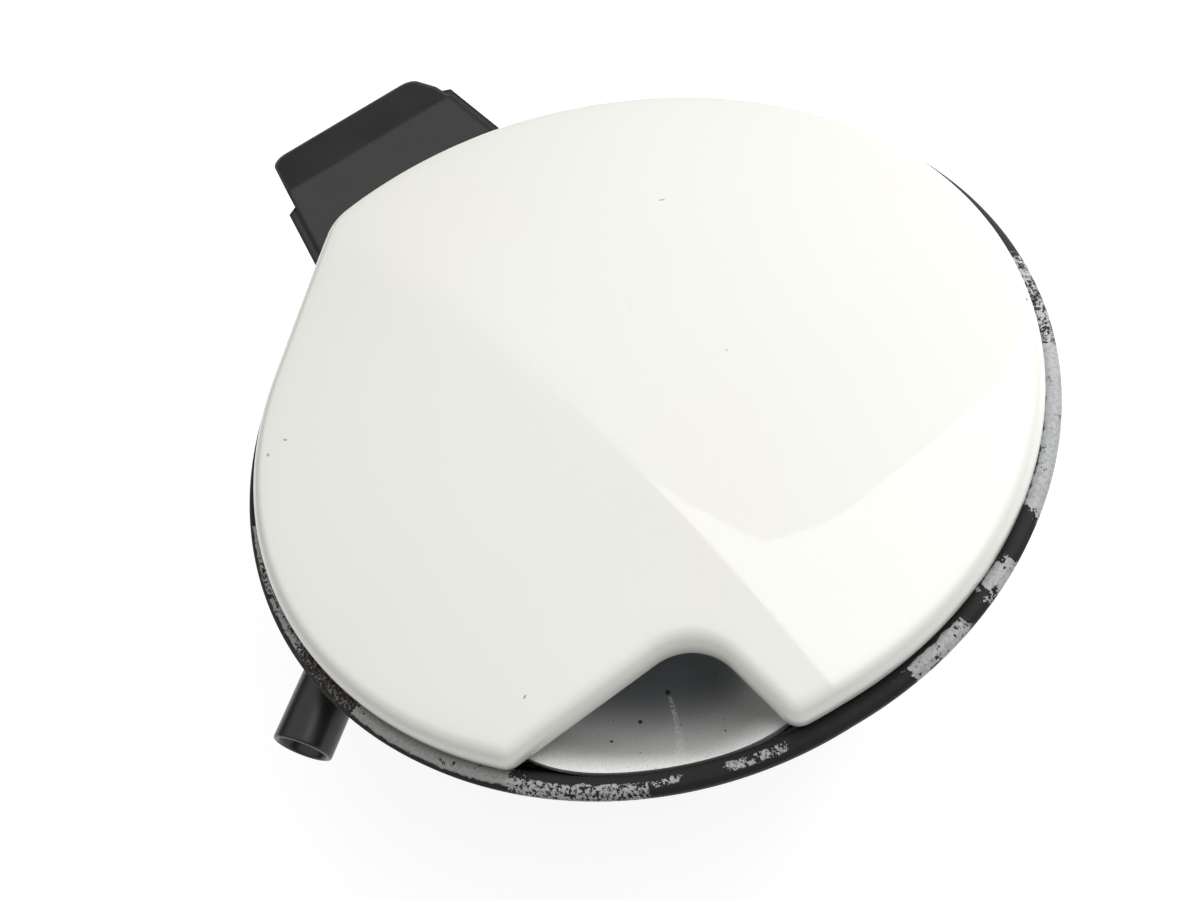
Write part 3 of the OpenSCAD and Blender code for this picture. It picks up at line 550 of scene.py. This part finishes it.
def soften(points, reach, steps=3):
    """Closed polygon with each corner rounded within reach of it."""
    out = []
    count = len(points)
    for k in range(count):
        here, before, after = points[k], points[k - 1], points[(k + 1) % count]
        a, b = before - here, after - here
        start = here + a * min(0.45, reach / np.linalg.norm(a[:2]))
        end = here + b * min(0.45, reach / np.linalg.norm(b[:2]))
        for t in np.linspace(0, 1, steps + 1):
            out.append(start * (1 - t) ** 2 + here * 2 * t * (1 - t) + end * t * t)
    return out


def dress(material, *nodes):
    """Gives the objects of CAD nodes a finish."""
    for node in nodes:
        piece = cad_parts[node]
        piece.data.materials.clear()
        piece.data.materials.append(material)


def stand_for(piece, body, node, material=None):
    """Rides a piece on a body in place of a CAD node."""
    if material is not None:
        piece.data.materials.clear()
        piece.data.materials.append(material)
    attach(piece, body)
    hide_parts(node)


def tone(colour, share=1.0, more=0.0):
    """Opaque colour, darker or lighter by a share and an addition."""
    return tuple(c * share + more for c in colour) + (1,)


def white_paint(colours):
    """Gloss white car paint with a clear coat, faint orange peel, dust and small marks."""
    f = Finish("White Car Paint")
    marks = f.marks(FLAP_MARKS)
    dust = f.step(f.noise(900.0, 2.0), 0.795, 0.83)
    cloud = f.step(f.noise(14.0, 2.0), 0.3, 0.75)
    base = f.mix(cloud, tone(colours.white), (colours.white[0] * 0.985, colours.white[1] * 0.985,
                                              colours.white[2] * 0.97, 1))
    base = f.mix(f.times(dust, 0.35), base, FLAP_DUST)
    base = f.mix(f.times(marks, 0.75), base, FLAP_MARK)
    peel = f.bump(f.noise(420.0, 2.0), 0.00001, 0.35)
    f.set(color=base, roughness=0.45, coat=1.0, coat_roughness=0.015, normal=peel)
    f.feed(f.shader.inputs["Coat Normal"], peel)
    return f.material


def scoop_paint(colours):
    """Satin overspray with fine grit and dark chips, darkened by painted shade towards the middle, and a
    painted highlight: a line of white flakes in place of a glint.
    """
    f = Finish("Scoop Overspray")
    grit = f.noise(2200.0, 2.0)
    cloud = f.noise(60.0, 3.0)
    # Painted shade: the paint darkens to a bluish grey towards the middle, where the scoop runs deep under
    # the flap.
    painted_shade_radius = f.math("MULTIPLY_ADD", cloud, 0.004, f.math("SUBTRACT", f.from_axis(), 0.002))
    full = f.mix(f.step(grit, 0.35, 0.7), tone(colours.scoop), tone(colours.scoop, 0.88))
    base = f.mix(f.step(painted_shade_radius, 0.061, 0.078), SCOOP_PAINTED_SHADE, full)
    base = f.mix(f.times(f.step(cloud, 0.45, 0.75), 0.2), base, SCOOP_HAZE)
    dust = f.step(f.noise(1300.0, 1.0), 0.74, 0.78)
    base = f.mix(f.times(dust, 0.6), base, SCOOP_DUST)
    base = f.mix(f.marks(SCOOP_MARKS), base, SCOOP_CHIP)
    # Painted highlight: a line of white flakes stands in for the glint of light along the scoop.
    run, across, _ = f.add("ShaderNodeSeparateXYZ", {"Vector": f.local(0.0556, -0.0289, -16.3)}).outputs
    reach = f.times(f.step(run, 0.0, 0.004), f.step(run, 0.0225, 0.020))
    width = f.math("MULTIPLY_ADD", run, 0.035, 0.0005)
    near = f.step(f.math("DIVIDE", f.math("ABSOLUTE", across), width), 1.0, 0.3)
    flakes = f.step(f.noise(1700.0, 2.0), 0.46, 0.52)
    glint = f.times(f.times(reach, near), flakes)
    base = f.mix(glint, base, SCOOP_GLINT)
    f.set(color=base, roughness=0.42, coat=0.25, coat_roughness=0.25,
          normal=f.bump(f.math("ADD", grit, f.times(glint, 2.0)), 0.00004, 0.6))
    return f.material


def black_moulding(name, colour, roughness, grain=900.0, edge=0.0007):
    """Satin black plastic with a fine grain, rubbed patches and softened edges."""
    f = Finish(name)
    wear = f.noise(35.0, 4.0, 0.6)
    dust = f.step(f.noise(260.0, 5.0, 0.7), 0.60, 0.78)
    lighter = tone(colour, 1.9, 0.004)
    base = f.mix(f.step(wear, 0.35, 0.75), tone(colour), tone(colour, 1.3))
    base = f.mix(f.times(dust, 0.5), base, lighter)
    edges = f.soft_edges(edge)
    grained = f.bump(f.noise(grain, 2.0), 0.00003, 0.5, after=edges)
    f.set(color=base, roughness=f.math("MULTIPLY_ADD", wear, 0.16, roughness - 0.08), normal=grained)
    return f.material


def rubber(name, colour):
    """Matt black rubber with a bloom of dust."""
    f = Finish(name)
    bloom = f.step(f.noise(120.0, 4.0, 0.6), 0.45, 0.8)
    base = f.mix(f.times(bloom, 0.35), tone(colour), RUBBER_DUST)
    f.set(color=base, roughness=0.78,
          normal=f.bump(f.noise(1400.0, 2.0), 0.00003, 0.5, after=f.soft_edges(0.0004)))
    return f.material


def paint_ramp(net, turn, columns):
    """Values of the residue table at an azimuth, as a stepped ramp with one colour for each stretch."""
    ramp = net.add("ShaderNodeValToRGB", {"Fac": turn})
    ramp.color_ramp.interpolation = "CONSTANT"
    stops = ramp.color_ramp.elements
    stops[0].position, stops[0].color = 0.0, NOTHING
    stops[1].position, stops[1].color = 1.0, NOTHING
    ends = {row[0] for row in RESIDUE}
    for row in RESIDUE:
        stops.new((row[0] + 180) / 360).color = (*columns(row), 1)
        if row[1] not in ends:
            stops.new((row[1] + 180) / 360).color = NOTHING
    split = net.add("ShaderNodeSeparateColor", {"Color": ramp.outputs["Color"]})
    return split.outputs


def lip_rubber(colours):
    """Matt black lip that keeps ragged silver-grey paint and brown dirt where the table says."""
    f = Finish("Soft Lip With Paint")
    m, times = f.math, f.times
    chunk = f.noise(300.0, 4.0, 0.65)
    speck = f.noise(1500.0, 3.0, 0.7)
    ragged = m("ADD", m("MULTIPLY_ADD", chunk, 0.030, -0.015), m("MULTIPLY_ADD", speck, 0.012, -0.006))
    turn = m("ADD", m("ADD", m("DIVIDE", m("ARCTAN2", f.y, f.x), 2 * math.pi), 0.5), ragged)
    cover, grain, brown = paint_ramp(f, turn, lambda row: row[2:5])
    inner, outer, _ = paint_ramp(f, turn, lambda row: ((row[5] - 80) / 20, (row[6] - 80) / 20, 0))
    scaled = m("DIVIDE", m("SUBTRACT", f.from_axis(), 0.080), 0.020)
    wander = m("MULTIPLY_ADD", chunk, 0.10, -0.05)
    spread = m("ADD", scaled, wander)
    band = times(f.step(m("SUBTRACT", spread, inner), -0.005, 0.012),
                 f.step(m("SUBTRACT", outer, spread), -0.005, 0.012))
    pattern = m("ADD", times(chunk, m("SUBTRACT", 1.0, grain)), times(speck, grain))
    level = m("SUBTRACT", pattern, m("MULTIPLY_ADD", cover, -0.42, 0.71))
    mask = times(f.step(level, 0.0, 0.03), band)
    flecks = m("SUBTRACT", 1.0, times(f.step(speck, 0.56, 0.40), 0.45))
    silver = f.mix(flecks, LIP_WORN, tone(colours.silver))
    silver = f.mix(brown, silver, tone(colours.dirt))
    bloom = f.step(f.noise(150.0, 4.0, 0.6), 0.45, 0.8)
    black = f.mix(times(bloom, 0.3), tone(colours.lip), LIP_DUST)
    f.set(color=f.mix(mask, black, silver), roughness=m("MULTIPLY_ADD", mask, -0.18, 0.72), ior=1.4,
          normal=f.bump(m("ADD", mask, times(speck, 0.3)), 0.00012, 0.6))
    return f.material


def nylon(colours):
    """Natural nylon, slightly translucent to the eye, with faint flow marks."""
    f = Finish("Natural Nylon")
    flow = f.noise(90.0, 3.0)
    base = f.mix(flow, tone(colours.nylon), tone(colours.nylon, 0.88))
    f.set(color=base, roughness=0.42, normal=f.bump(f.noise(1200.0), 0.00002, 0.4,
                                                    after=f.soft_edges(0.0003)))
    f.feed(f.shader.inputs["Subsurface Weight"], 0.12)
    f.feed(f.shader.inputs["Subsurface Radius"], (0.002, 0.0016, 0.001))
    return f.material


def plated(name, colour, roughness, stretch):
    """Plated steel with fine drawing lines and dull spots."""
    f = Finish(name)
    lines = f.add("ShaderNodeMapping", {"Vector": f.place, "Scale": stretch})
    drawn = f.noise(1.0, 3.0, 0.6, on=lines.outputs[0])
    dull = f.step(f.noise(420.0, 4.0, 0.6), 0.45, 0.75)
    base = f.mix(dull, tone(colour), tone(colour, 0.72))
    rough = f.math("MULTIPLY_ADD", dull, 0.22, roughness)
    f.set(color=base, metallic=1.0, roughness=rough,
          normal=f.bump(drawn, 0.00002, 0.4, after=f.soft_edges(0.0003)))
    return f.material


class Maker:
    """Frame of the operators, whose build works on a scene."""

    def execute(self, context):
        self.build(context.scene)
        return {"FINISHED"}


class FLAP_OT_stage(Maker, bpy.types.Operator):
    """Make the floor, the lamps and the camera"""

    bl_idname = "filler_flap.stage"
    bl_label = "Stage"

    def build(self, scene):
        form = scene.stage_form
        scene.view_settings.view_transform = "Standard"
        self.camera(scene, form)
        self.floor(form)
        self.world(scene, form)
        self.key(scene, form)
        self.panel(form)

    def camera(self, scene, form):
        lens = bpy.data.cameras.new("Camera")
        lens.lens, lens.sensor_width = form.lens, 36.0
        lens.clip_start, lens.clip_end = 0.01, 20.0
        camera = bpy.data.objects.new("Camera", lens)
        scene.collection.objects.link(camera)
        turn = Matrix(CAMERA_AXES).transposed().to_4x4()
        camera.matrix_world = Matrix.Translation(Vector(form.camera)) @ turn
        scene.camera = camera

    def glow(self, name, strength):
        """A new material, its wiring and a white glow that isn't joined to its output yet."""
        material = bpy.data.materials.new(name)
        material.use_nodes = True
        net = Net(material.node_tree)
        net.tree.nodes.remove(net.tree.nodes["Principled BSDF"])
        return material, net, net.add("ShaderNodeEmission", {"Color": WHITE, "Strength": strength}).outputs[0]

    def sheet(self, name, corners, height, material):
        """Flat stage piece with these corners."""
        mesh = bpy.data.meshes.new(name)
        mesh.from_pydata([(x, y, height) for x, y in corners], [], [tuple(range(len(corners)))])
        mesh.materials.append(material)
        return put(name, mesh)

    def floor(self, form):
        material, net, glow = self.glow("Pale Floor", form.floor_glow)
        path = net.add("ShaderNodeLightPath").outputs
        seen = net.math("MAXIMUM", path["Is Camera Ray"],
                        net.math("MAXIMUM", path["Is Glossy Ray"], path["Is Transmission Ray"]))
        shaded = net.add("ShaderNodeBsdfDiffuse", {"Color": (form.floor_grey,) * 3 + (1,)}).outputs[0]
        both = net.add("ShaderNodeAddShader", {0: shaded, 1: glow}).outputs[0]
        plain = net.add("ShaderNodeBsdfDiffuse", {"Color": FLOOR_BOUNCE}).outputs[0]
        mixed = net.add("ShaderNodeMixShader", {0: seen, 1: plain, 2: both}).outputs[0]
        net.feed(net.tree.nodes["Material Output"].inputs["Surface"], mixed)
        floor = self.sheet("floor", FLOOR_CORNERS, 0, material)

    def world(self, scene, form):
        world = scene.world or bpy.data.worlds.new("World")
        scene.world = world
        world.use_nodes = True
        net = Net(world.node_tree)
        back = world.node_tree.nodes["Background"]
        path = net.add("ShaderNodeLightPath").outputs
        way = net.add("ShaderNodeSeparateXYZ", {"Vector": net.add("ShaderNodeTexCoord").outputs["Generated"]})
        height = net.step(way.outputs[2], 0.30, 0.72)
        shown = net.math("MULTIPLY_ADD", height, 1.0 - form.horizon, form.horizon - form.world)
        shown = net.math("MULTIPLY_ADD", shown, path["Is Glossy Ray"], form.world)
        white = net.math("MAXIMUM", path["Is Camera Ray"], path["Is Transmission Ray"])
        strength = net.math("MAXIMUM", white, shown)
        back.inputs["Color"].default_value = WHITE
        net.feed(back.inputs["Strength"], strength)

    def key(self, scene, form):
        lamp = bpy.data.lights.new("Side Lamp", "AREA")
        lamp.shape, lamp.size, lamp.energy = "DISK", 0.7, form.key
        place = bpy.data.objects.new("Side Lamp", lamp)
        scene.collection.objects.link(place)
        turn = (LAMP_AIM - LAMP_PLACE).to_track_quat("-Z", "Y").to_matrix().to_4x4()
        place.matrix_world = Matrix.Translation(LAMP_PLACE) @ turn

    def panel(self, form):
        """Overhead panel whose inner edges mirror as the white wedge beside the crease."""
        material, net, glow = self.glow("Panel Light", form.panel)
        net.feed(net.tree.nodes["Material Output"].inputs["Surface"], glow)
        panel = self.sheet("panel", PANEL_CORNERS, PANEL_HEIGHT, material)
        panel.visible_camera = False


class FLAP_OT_skin(Maker, bpy.types.Operator):
    """Make the painted flap skin on its crowned surface"""

    bl_idname = "filler_flap.skin"
    bl_label = "Flap Skin"

    def build(self, scene):
        form = scene.flap_form
        outline, normals = flap_outline(form)
        rings = []

        def ring(inset, drop, share=1.0):
            flat = outline + inset * normals
            x = flat[:, 0] * share
            y = (flat[:, 1] - crease_y(form, flat[:, 0])) * share + crease_y(form, x)
            rings.append(np.column_stack([x, y, np.full(len(x), -drop)]))

        for share in np.linspace(0.04, 1, form.rings):
            ring(form.edge_round, 0, share)
        for turn in np.radians(np.linspace(80, 0, 9)):
            ring(form.edge_round * (1 - math.cos(turn)), form.edge_round * (1 - math.sin(turn)))
        lip, wall, low = 0.0004, form.edge_wall, form.edge_h
        for inset, drop in [(0, low - lip), (lip * 0.3, low - lip * 0.3), (lip, low), (wall - lip, low),
                            (wall, low - lip), (wall, form.skin + 0.0013),
                            (wall + 0.0005, form.skin + 0.0004)]:
            ring(inset, drop)
        for share in (1.0, 0.85, 0.6, 0.3):
            ring(wall + 0.0015, form.skin, share)
        middle = np.array([0, form.crease_mid, 0])
        mesh = ring_mesh("flap_skin_flat", rings, middle, middle - [0, 0, form.skin])
        points = np.array([v.co for v in mesh.vertices])
        note(mesh, "over", "FLOAT_VECTOR", points * [1, 1, 0])
        note(mesh, "follow", "FLOAT", np.ones(len(points)))
        paint = white_paint(scene.colours)
        piece = plain_mesh("painted_flap", crowned_tree(form), mesh, {"Finish": paint})
        outside(piece.data)
        stand_for(piece, "flap_body", "flap_skin")


class FLAP_OT_lip(Maker, bpy.types.Operator):
    """Make the soft lip that follows the flap's edge round the mouth"""

    bl_idname = "filler_flap.lip"
    bl_label = "Soft Lip"

    def build(self, scene):
        form, flap = scene.lip_form, scene.flap_form
        low = flap.mouth - form.wall_top
        wall = form.radius - 0.0015 - form.taper * form.wall_top + 0.0001
        foot = form.foot + 0.0004
        leg = wall - form.taper * (low - foot)
        inner, outer = form.radius - form.width, form.radius
        fixed = [(inner, low + 0.0001), (wall, low + 0.0001), (leg, foot), (leg + 0.0016, foot - 0.0004)]
        top = [(outer - 0.0003, -0.003), (outer, -0.0012), (outer - 0.0009, -0.0002),
               (outer - form.width / 2, 0.0), (inner + 0.0007, -0.0002), (inner, -0.001)]
        drop = flap.edge_h + form.gap
        section = [np.array([r, z, 0.0]) for r, z in fixed] + [np.array([r, z - drop, 1.0]) for r, z in top]
        section = np.array(soften(section, 0.0004))
        rings, over, follow = [], [], []
        for turn in np.linspace(0, 360, form.steps, endpoint=False):
            ahead = heading(turn)
            rings.append([(*(r * ahead), z) for r, z, _ in section])
            over += [(*(flap.radius * ahead), 0)] * len(section)
            follow += list(section[:, 2])
        mesh = ring_mesh("soft_lip_flat", rings, closed=True)
        note(mesh, "over", "FLOAT_VECTOR", over)
        note(mesh, "follow", "FLOAT", follow)
        tree = bpy.data.node_groups.get("Crowned Surface") or crowned_tree(flap)
        piece = plain_mesh("soft_lip", tree, mesh, {"Finish": lip_rubber(scene.colours)})
        outside(piece.data)
        stand_for(piece, "housing_body", "mouth_seal")


class FLAP_OT_scoop(Maker, bpy.types.Operator):
    """Make the painted finger scoop behind the notch"""

    bl_idname = "filler_flap.scoop"
    bl_label = "Finger Scoop"

    def build(self, scene):
        form, flap = scene.scoop_form, scene.flap_form
        shares = 1 - np.cos(np.linspace(0, math.pi / 2, 40))
        shares = np.concatenate([shares[:-1] * 0.35, np.linspace(0.35, 1, 34)])
        rings = []
        for step in np.linspace(0, math.pi, form.steps + 1):
            across = -math.cos(step)
            ahead = heading(form.first + (form.last - form.first) * (across + 1) / 2)
            face = [(form.rim - 0.0022 * across ** 4 - form.reach * t, self.depth(form, across, t))
                    for t in shares]
            face += [(r, d + form.wall) for r, d in face[::-1]]
            rings.append([(*(r * ahead), flap.mouth - d) for r, d in face])
        mesh = ring_mesh("finger_scoop", rings)
        outside(mesh)
        piece = put("scoop_dish", mesh)
        sharp_edges(piece, 40)
        stand_for(piece, "housing_body", "finger_scoop", scoop_paint(scene.colours))

    def depth(self, form, across, t):
        """Depth of the face below the mouth plane."""
        if t < 0.65:
            dip = math.sin(math.radians(90 * t / 0.65)) ** 1.3
        else:
            dip = 1 - 0.35 * ((t - 0.65) / 0.35) ** 2
        near = min(1, t / 0.3)
        full = 0.001 + 0.004 * near * near * (3 - 2 * near)
        return full + (form.deep - 0.004) * dip * (1 - abs(across) ** 3) ** 0.7


class FLAP_OT_spout(Maker, bpy.types.Operator):
    """Make the drain spout with its rounded rim"""

    bl_idname = "filler_flap.spout"
    bl_label = "Drain Spout"

    def build(self, scene):
        form = scene.spout_form
        height = (SPOUT_BOX[0].z + SPOUT_BOX[1].z) / 2
        edge, end = 0.0005, form.length + form.seat
        profile = [(form.bore, edge), (form.bore, end - edge), (form.bore + edge * 0.5, end),
                   (form.spigot - edge * 0.5, end), (form.spigot, end - edge), (form.spigot, form.length),
                   (form.outer, form.length), (form.outer, edge), (form.outer - edge * 0.3, edge * 0.3),
                   (form.outer - edge, 0.0), (form.bore + edge, 0.0)]
        along = heading(form.azimuth)
        axis = Vector((-along[0], -along[1], 0))
        side = Vector((-along[1], along[0], 0))
        tip = Vector((form.tip_x, form.tip_y, height))
        rings = []
        for turn in np.linspace(0, 2 * math.pi, 96, endpoint=False):
            out = side * math.cos(turn) + Vector((0, 0, 1)) * math.sin(turn)
            rings.append([tip + axis * s + out * r for r, s in profile])
        mesh = ring_mesh("spout_tube", rings, closed=True)
        outside(mesh)
        piece = put("spout_tube", mesh)
        sharp_edges(piece, 50)
        black = black_moulding("Spout Black", scene.colours.spout, 0.30, 1600.0)
        stand_for(piece, "housing_body", "drain_spout", black)


def screw_template(form, length):
    """Pan-head screw with a cross recess, its head's seat at z = 0 and its shank downwards."""
    head = [(form.shank_r, 0.0), (form.head_r, 0.0), (form.head_r, form.head_h * 0.45)]
    head += [(form.head_r * (0.45 + 0.55 * math.cos(t)), form.head_h * (0.45 + 0.55 * math.sin(t)))
             for t in np.radians(np.linspace(15, 90, 6))]
    shank = [(form.shank_r * 0.55, -length), (form.shank_r, -length + 0.001)]
    pitch = 0.0008
    for k in range(int((length - 0.0015) / pitch)):
        at = -length + 0.001 + k * pitch
        shank += [(form.shank_r, at + pitch * 0.35), (form.shank_r * 0.82, at + pitch * 0.7)]
    turns = np.linspace(0, 2 * math.pi, 32, endpoint=False)
    rings = [[(r * math.cos(t), r * math.sin(t), z) for t in turns] for r, z in shank + head]
    mesh = ring_mesh("screw", rings, first=(0, 0, -length), last=(0, 0, form.head_h))
    outside(mesh, smooth=False)
    screw = put("screw_blank", mesh)
    size = (2 * form.head_r * 0.6, 2 * 0.0004, 2 * form.recess, 1)
    cut = bmesh.new()
    for turn in (0, 90):
        bar = Matrix.Rotation(math.radians(turn), 4, "Z") @ Matrix.Diagonal(size)
        bmesh.ops.create_cube(cut, size=1, matrix=Matrix.Translation((0, 0, form.head_h)) @ bar)
    cutter_mesh = bpy.data.meshes.new("recess")
    cut.to_mesh(cutter_mesh)
    cut.free()
    cutter = put("recess", cutter_mesh)
    hollow = screw.modifiers.new("Recess", "BOOLEAN")
    hollow.object, hollow.operation, hollow.solver, hollow.use_self = cutter, "DIFFERENCE", "EXACT", True
    made = bpy.data.meshes.new_from_object(screw.evaluated_get(bpy.context.evaluated_depsgraph_get()))
    made.name = "screw_form"
    for blank in (screw, cutter):
        bpy.data.objects.remove(blank)
    return made


def screw_tree():
    """Geometry nodes that put a screw on each point, turned to its own direction."""
    net = Form("Screw Set", [("Screw", "Object", None), ("Turn", "Float", 0.6), ("Seed", "Int", 4)])
    chance = net.add("FunctionNodeRandomValue", {"Seed": net.size["Seed"]}, data_type="FLOAT")
    spin = net.times(chance.outputs[1], net.size["Turn"])
    spun = net.add("FunctionNodeAxisAngleToRotation", {"Axis": (0, 0, 1), "Angle": spin})
    aimed = net.add("FunctionNodeAlignRotationToVector", {"Rotation": spun.outputs[0],
                                                          "Vector": net.attribute("axis")}, axis="Z")
    screw = net.add("GeometryNodeObjectInfo", {"Object": net.size["Screw"]})
    spread = net.add("GeometryNodeInstanceOnPoints", {"Points": net.size["Geometry"],
                                                      "Instance": screw.outputs["Geometry"],
                                                      "Rotation": aimed.outputs[0]})
    return net.painted(spread.outputs[0])


def islands(node):
    """Points of each loose solid in a CAD node."""
    work = bmesh.new()
    work.from_mesh(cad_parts[node].data)
    bmesh.ops.remove_doubles(work, verts=work.verts, dist=1e-6)
    left, found = set(work.verts), []
    while left:
        group, edge = [], [left.pop()]
        while edge:
            vert = edge.pop()
            group.append(vert.co.copy())
            for link in vert.link_edges:
                other = link.other_vert(vert)
                if other in left:
                    left.remove(other)
                    edge.append(other)
        found.append(np.array(group))
    work.free()
    return found


class FLAP_OT_screws(Maker, bpy.types.Operator):
    """Make the pan-head screws of the arm, tongue, cover and clamp ring"""

    bl_idname = "filler_flap.screws"
    bl_label = "Screws"

    def build(self, scene):
        form = scene.screw_form
        zinc = plated("Zinc Plated Steel", scene.colours.zinc, 0.28, (900.0, 900.0, 2500.0))
        tree = screw_tree()
        slope = math.radians(COVER_SLOPE)
        up, outwards = Vector((0, 0, 1)), Vector((-math.sin(slope), 0, -math.cos(slope)))
        sets = [("arm_screws", "flap_body", -up), ("tongue_screws", "flap_body", -up),
                ("cover_screws", "housing_body", outwards), ("ring_screws", "housing_body", up)]
        for node, body, axis in sets:
            solids = islands(node)
            if not solids:
                raise RuntimeError("no screws found in " + node)
            points, length = [], 0.0
            for solid in solids:
                centre = Vector((solid.min(0) + solid.max(0)) / 2)
                heights = [(Vector(p) - centre).dot(axis) for p in solid]
                span = max(heights) - min(heights)
                middle = Vector(solid.mean(0))
                middle += axis * ((max(heights) + min(heights)) / 2 - (middle - centre).dot(axis))
                points.append(middle + axis * (span / 2 - form.head_h))
                length = span - form.head_h
            blank = put(node + "_form", screw_template(form, length))
            mesh = bpy.data.meshes.new(node + "_points")
            mesh.from_pydata([tuple(p) for p in points], [], [])
            note(mesh, "axis", "FLOAT_VECTOR", [tuple(axis)] * len(points))
            piece = plain_mesh(node.replace("screws", "screw_set"), tree, mesh,
                               {"Screw": blank, "Finish": zinc})
            bpy.data.objects.remove(blank)
            sharp_edges(piece, 35)
            stand_for(piece, body, node)


class FLAP_OT_mouldings(Maker, bpy.types.Operator):
    """Finish the housing, the cover, the clamp ring, the carrier and the tongue"""

    bl_idname = "filler_flap.mouldings"
    bl_label = "Black Mouldings"

    def build(self, scene):
        colours = scene.colours
        housing = black_moulding("Housing Black", colours.housing, 0.28, edge=0.002)
        dress(housing, "housing", "hinge_box_cover", "neck_ring", "flap_carrier", "latch_tongue")


class FLAP_OT_hinge(Maker, bpy.types.Operator):
    """Finish the gooseneck arm, pin, clip, spring, bushes and body clips"""

    bl_idname = "filler_flap.hinge"
    bl_label = "Hinge"

    def build(self, scene):
        colours = scene.colours
        dress(black_moulding("Arm Black", colours.housing, 0.5, 700.0), "hinge_arm")
        steel = plated("Pin Steel", colours.zinc, 0.24, (2500.0, 120.0, 2500.0))
        spring = plated("Spring Steel", colours.spring, 0.34, (200.0, 2500.0, 2500.0))
        dress(steel, "hinge_pin")
        dress(spring, "pin_clip", "leaf_spring", "body_clips")
        dress(nylon(colours), "hinge_bush_left", "hinge_bush_right", "lock_bush")


class FLAP_OT_rubbers(Maker, bpy.types.Operator):
    """Finish the neck collar and the two buffers"""

    bl_idname = "filler_flap.rubbers"
    bl_label = "Rubbers"

    def build(self, scene):
        black = rubber("Rubber Black", scene.colours.lip)
        dress(black, "neck_collar", "buffer_upper", "buffer_lower")


class FLAP_PT_sidebar(bpy.types.Panel):
    """Lists the sizes and the pieces of the filler flap"""

    bl_label = "Filler Flap"
    bl_idname = "FLAP_PT_sidebar"
    bl_space_type = "VIEW_3D"
    bl_region_type = "UI"
    bl_category = "Filler Flap"

    def draw(self, context):
        for operator in OPERATORS:
            self.layout.operator(operator.bl_idname)
        for name in GROUPS:
            box = self.layout.box()
            box.label(text=name.replace("_", " ").title())
            group = getattr(context.scene, name)
            for key in group.__annotations__:
                box.prop(group, key)


OPERATORS = [FLAP_OT_stage, FLAP_OT_skin, FLAP_OT_lip, FLAP_OT_scoop, FLAP_OT_spout, FLAP_OT_screws,
             FLAP_OT_mouldings, FLAP_OT_hinge, FLAP_OT_rubbers]
GROUPS = {"flap_form": FlapForm, "lip_form": LipForm, "scoop_form": ScoopForm, "spout_form": SpoutForm,
          "screw_form": ScrewForm, "colours": Colours, "stage_form": StageForm}


def register():
    for group in GROUPS.values():
        bpy.utils.register_class(group)
    for name, group in GROUPS.items():
        setattr(bpy.types.Scene, name, bpy.props.PointerProperty(type=group))
    for kind in OPERATORS + [FLAP_PT_sidebar]:
        bpy.utils.register_class(kind)


def unregister():
    for kind in [FLAP_PT_sidebar] + OPERATORS[::-1]:
        bpy.utils.unregister_class(kind)
    for name, group in GROUPS.items():
        delattr(bpy.types.Scene, name)
        bpy.utils.unregister_class(group)


def main():
    register()
    bpy.ops.filler_flap.stage()
    bpy.ops.filler_flap.skin()
    bpy.ops.filler_flap.lip()
    bpy.ops.filler_flap.scoop()
    bpy.ops.filler_flap.spout()
    bpy.ops.filler_flap.screws()
    bpy.ops.filler_flap.mouldings()
    bpy.ops.filler_flap.hinge()
    bpy.ops.filler_flap.rubbers()


if __name__ == "__main__":
    main()
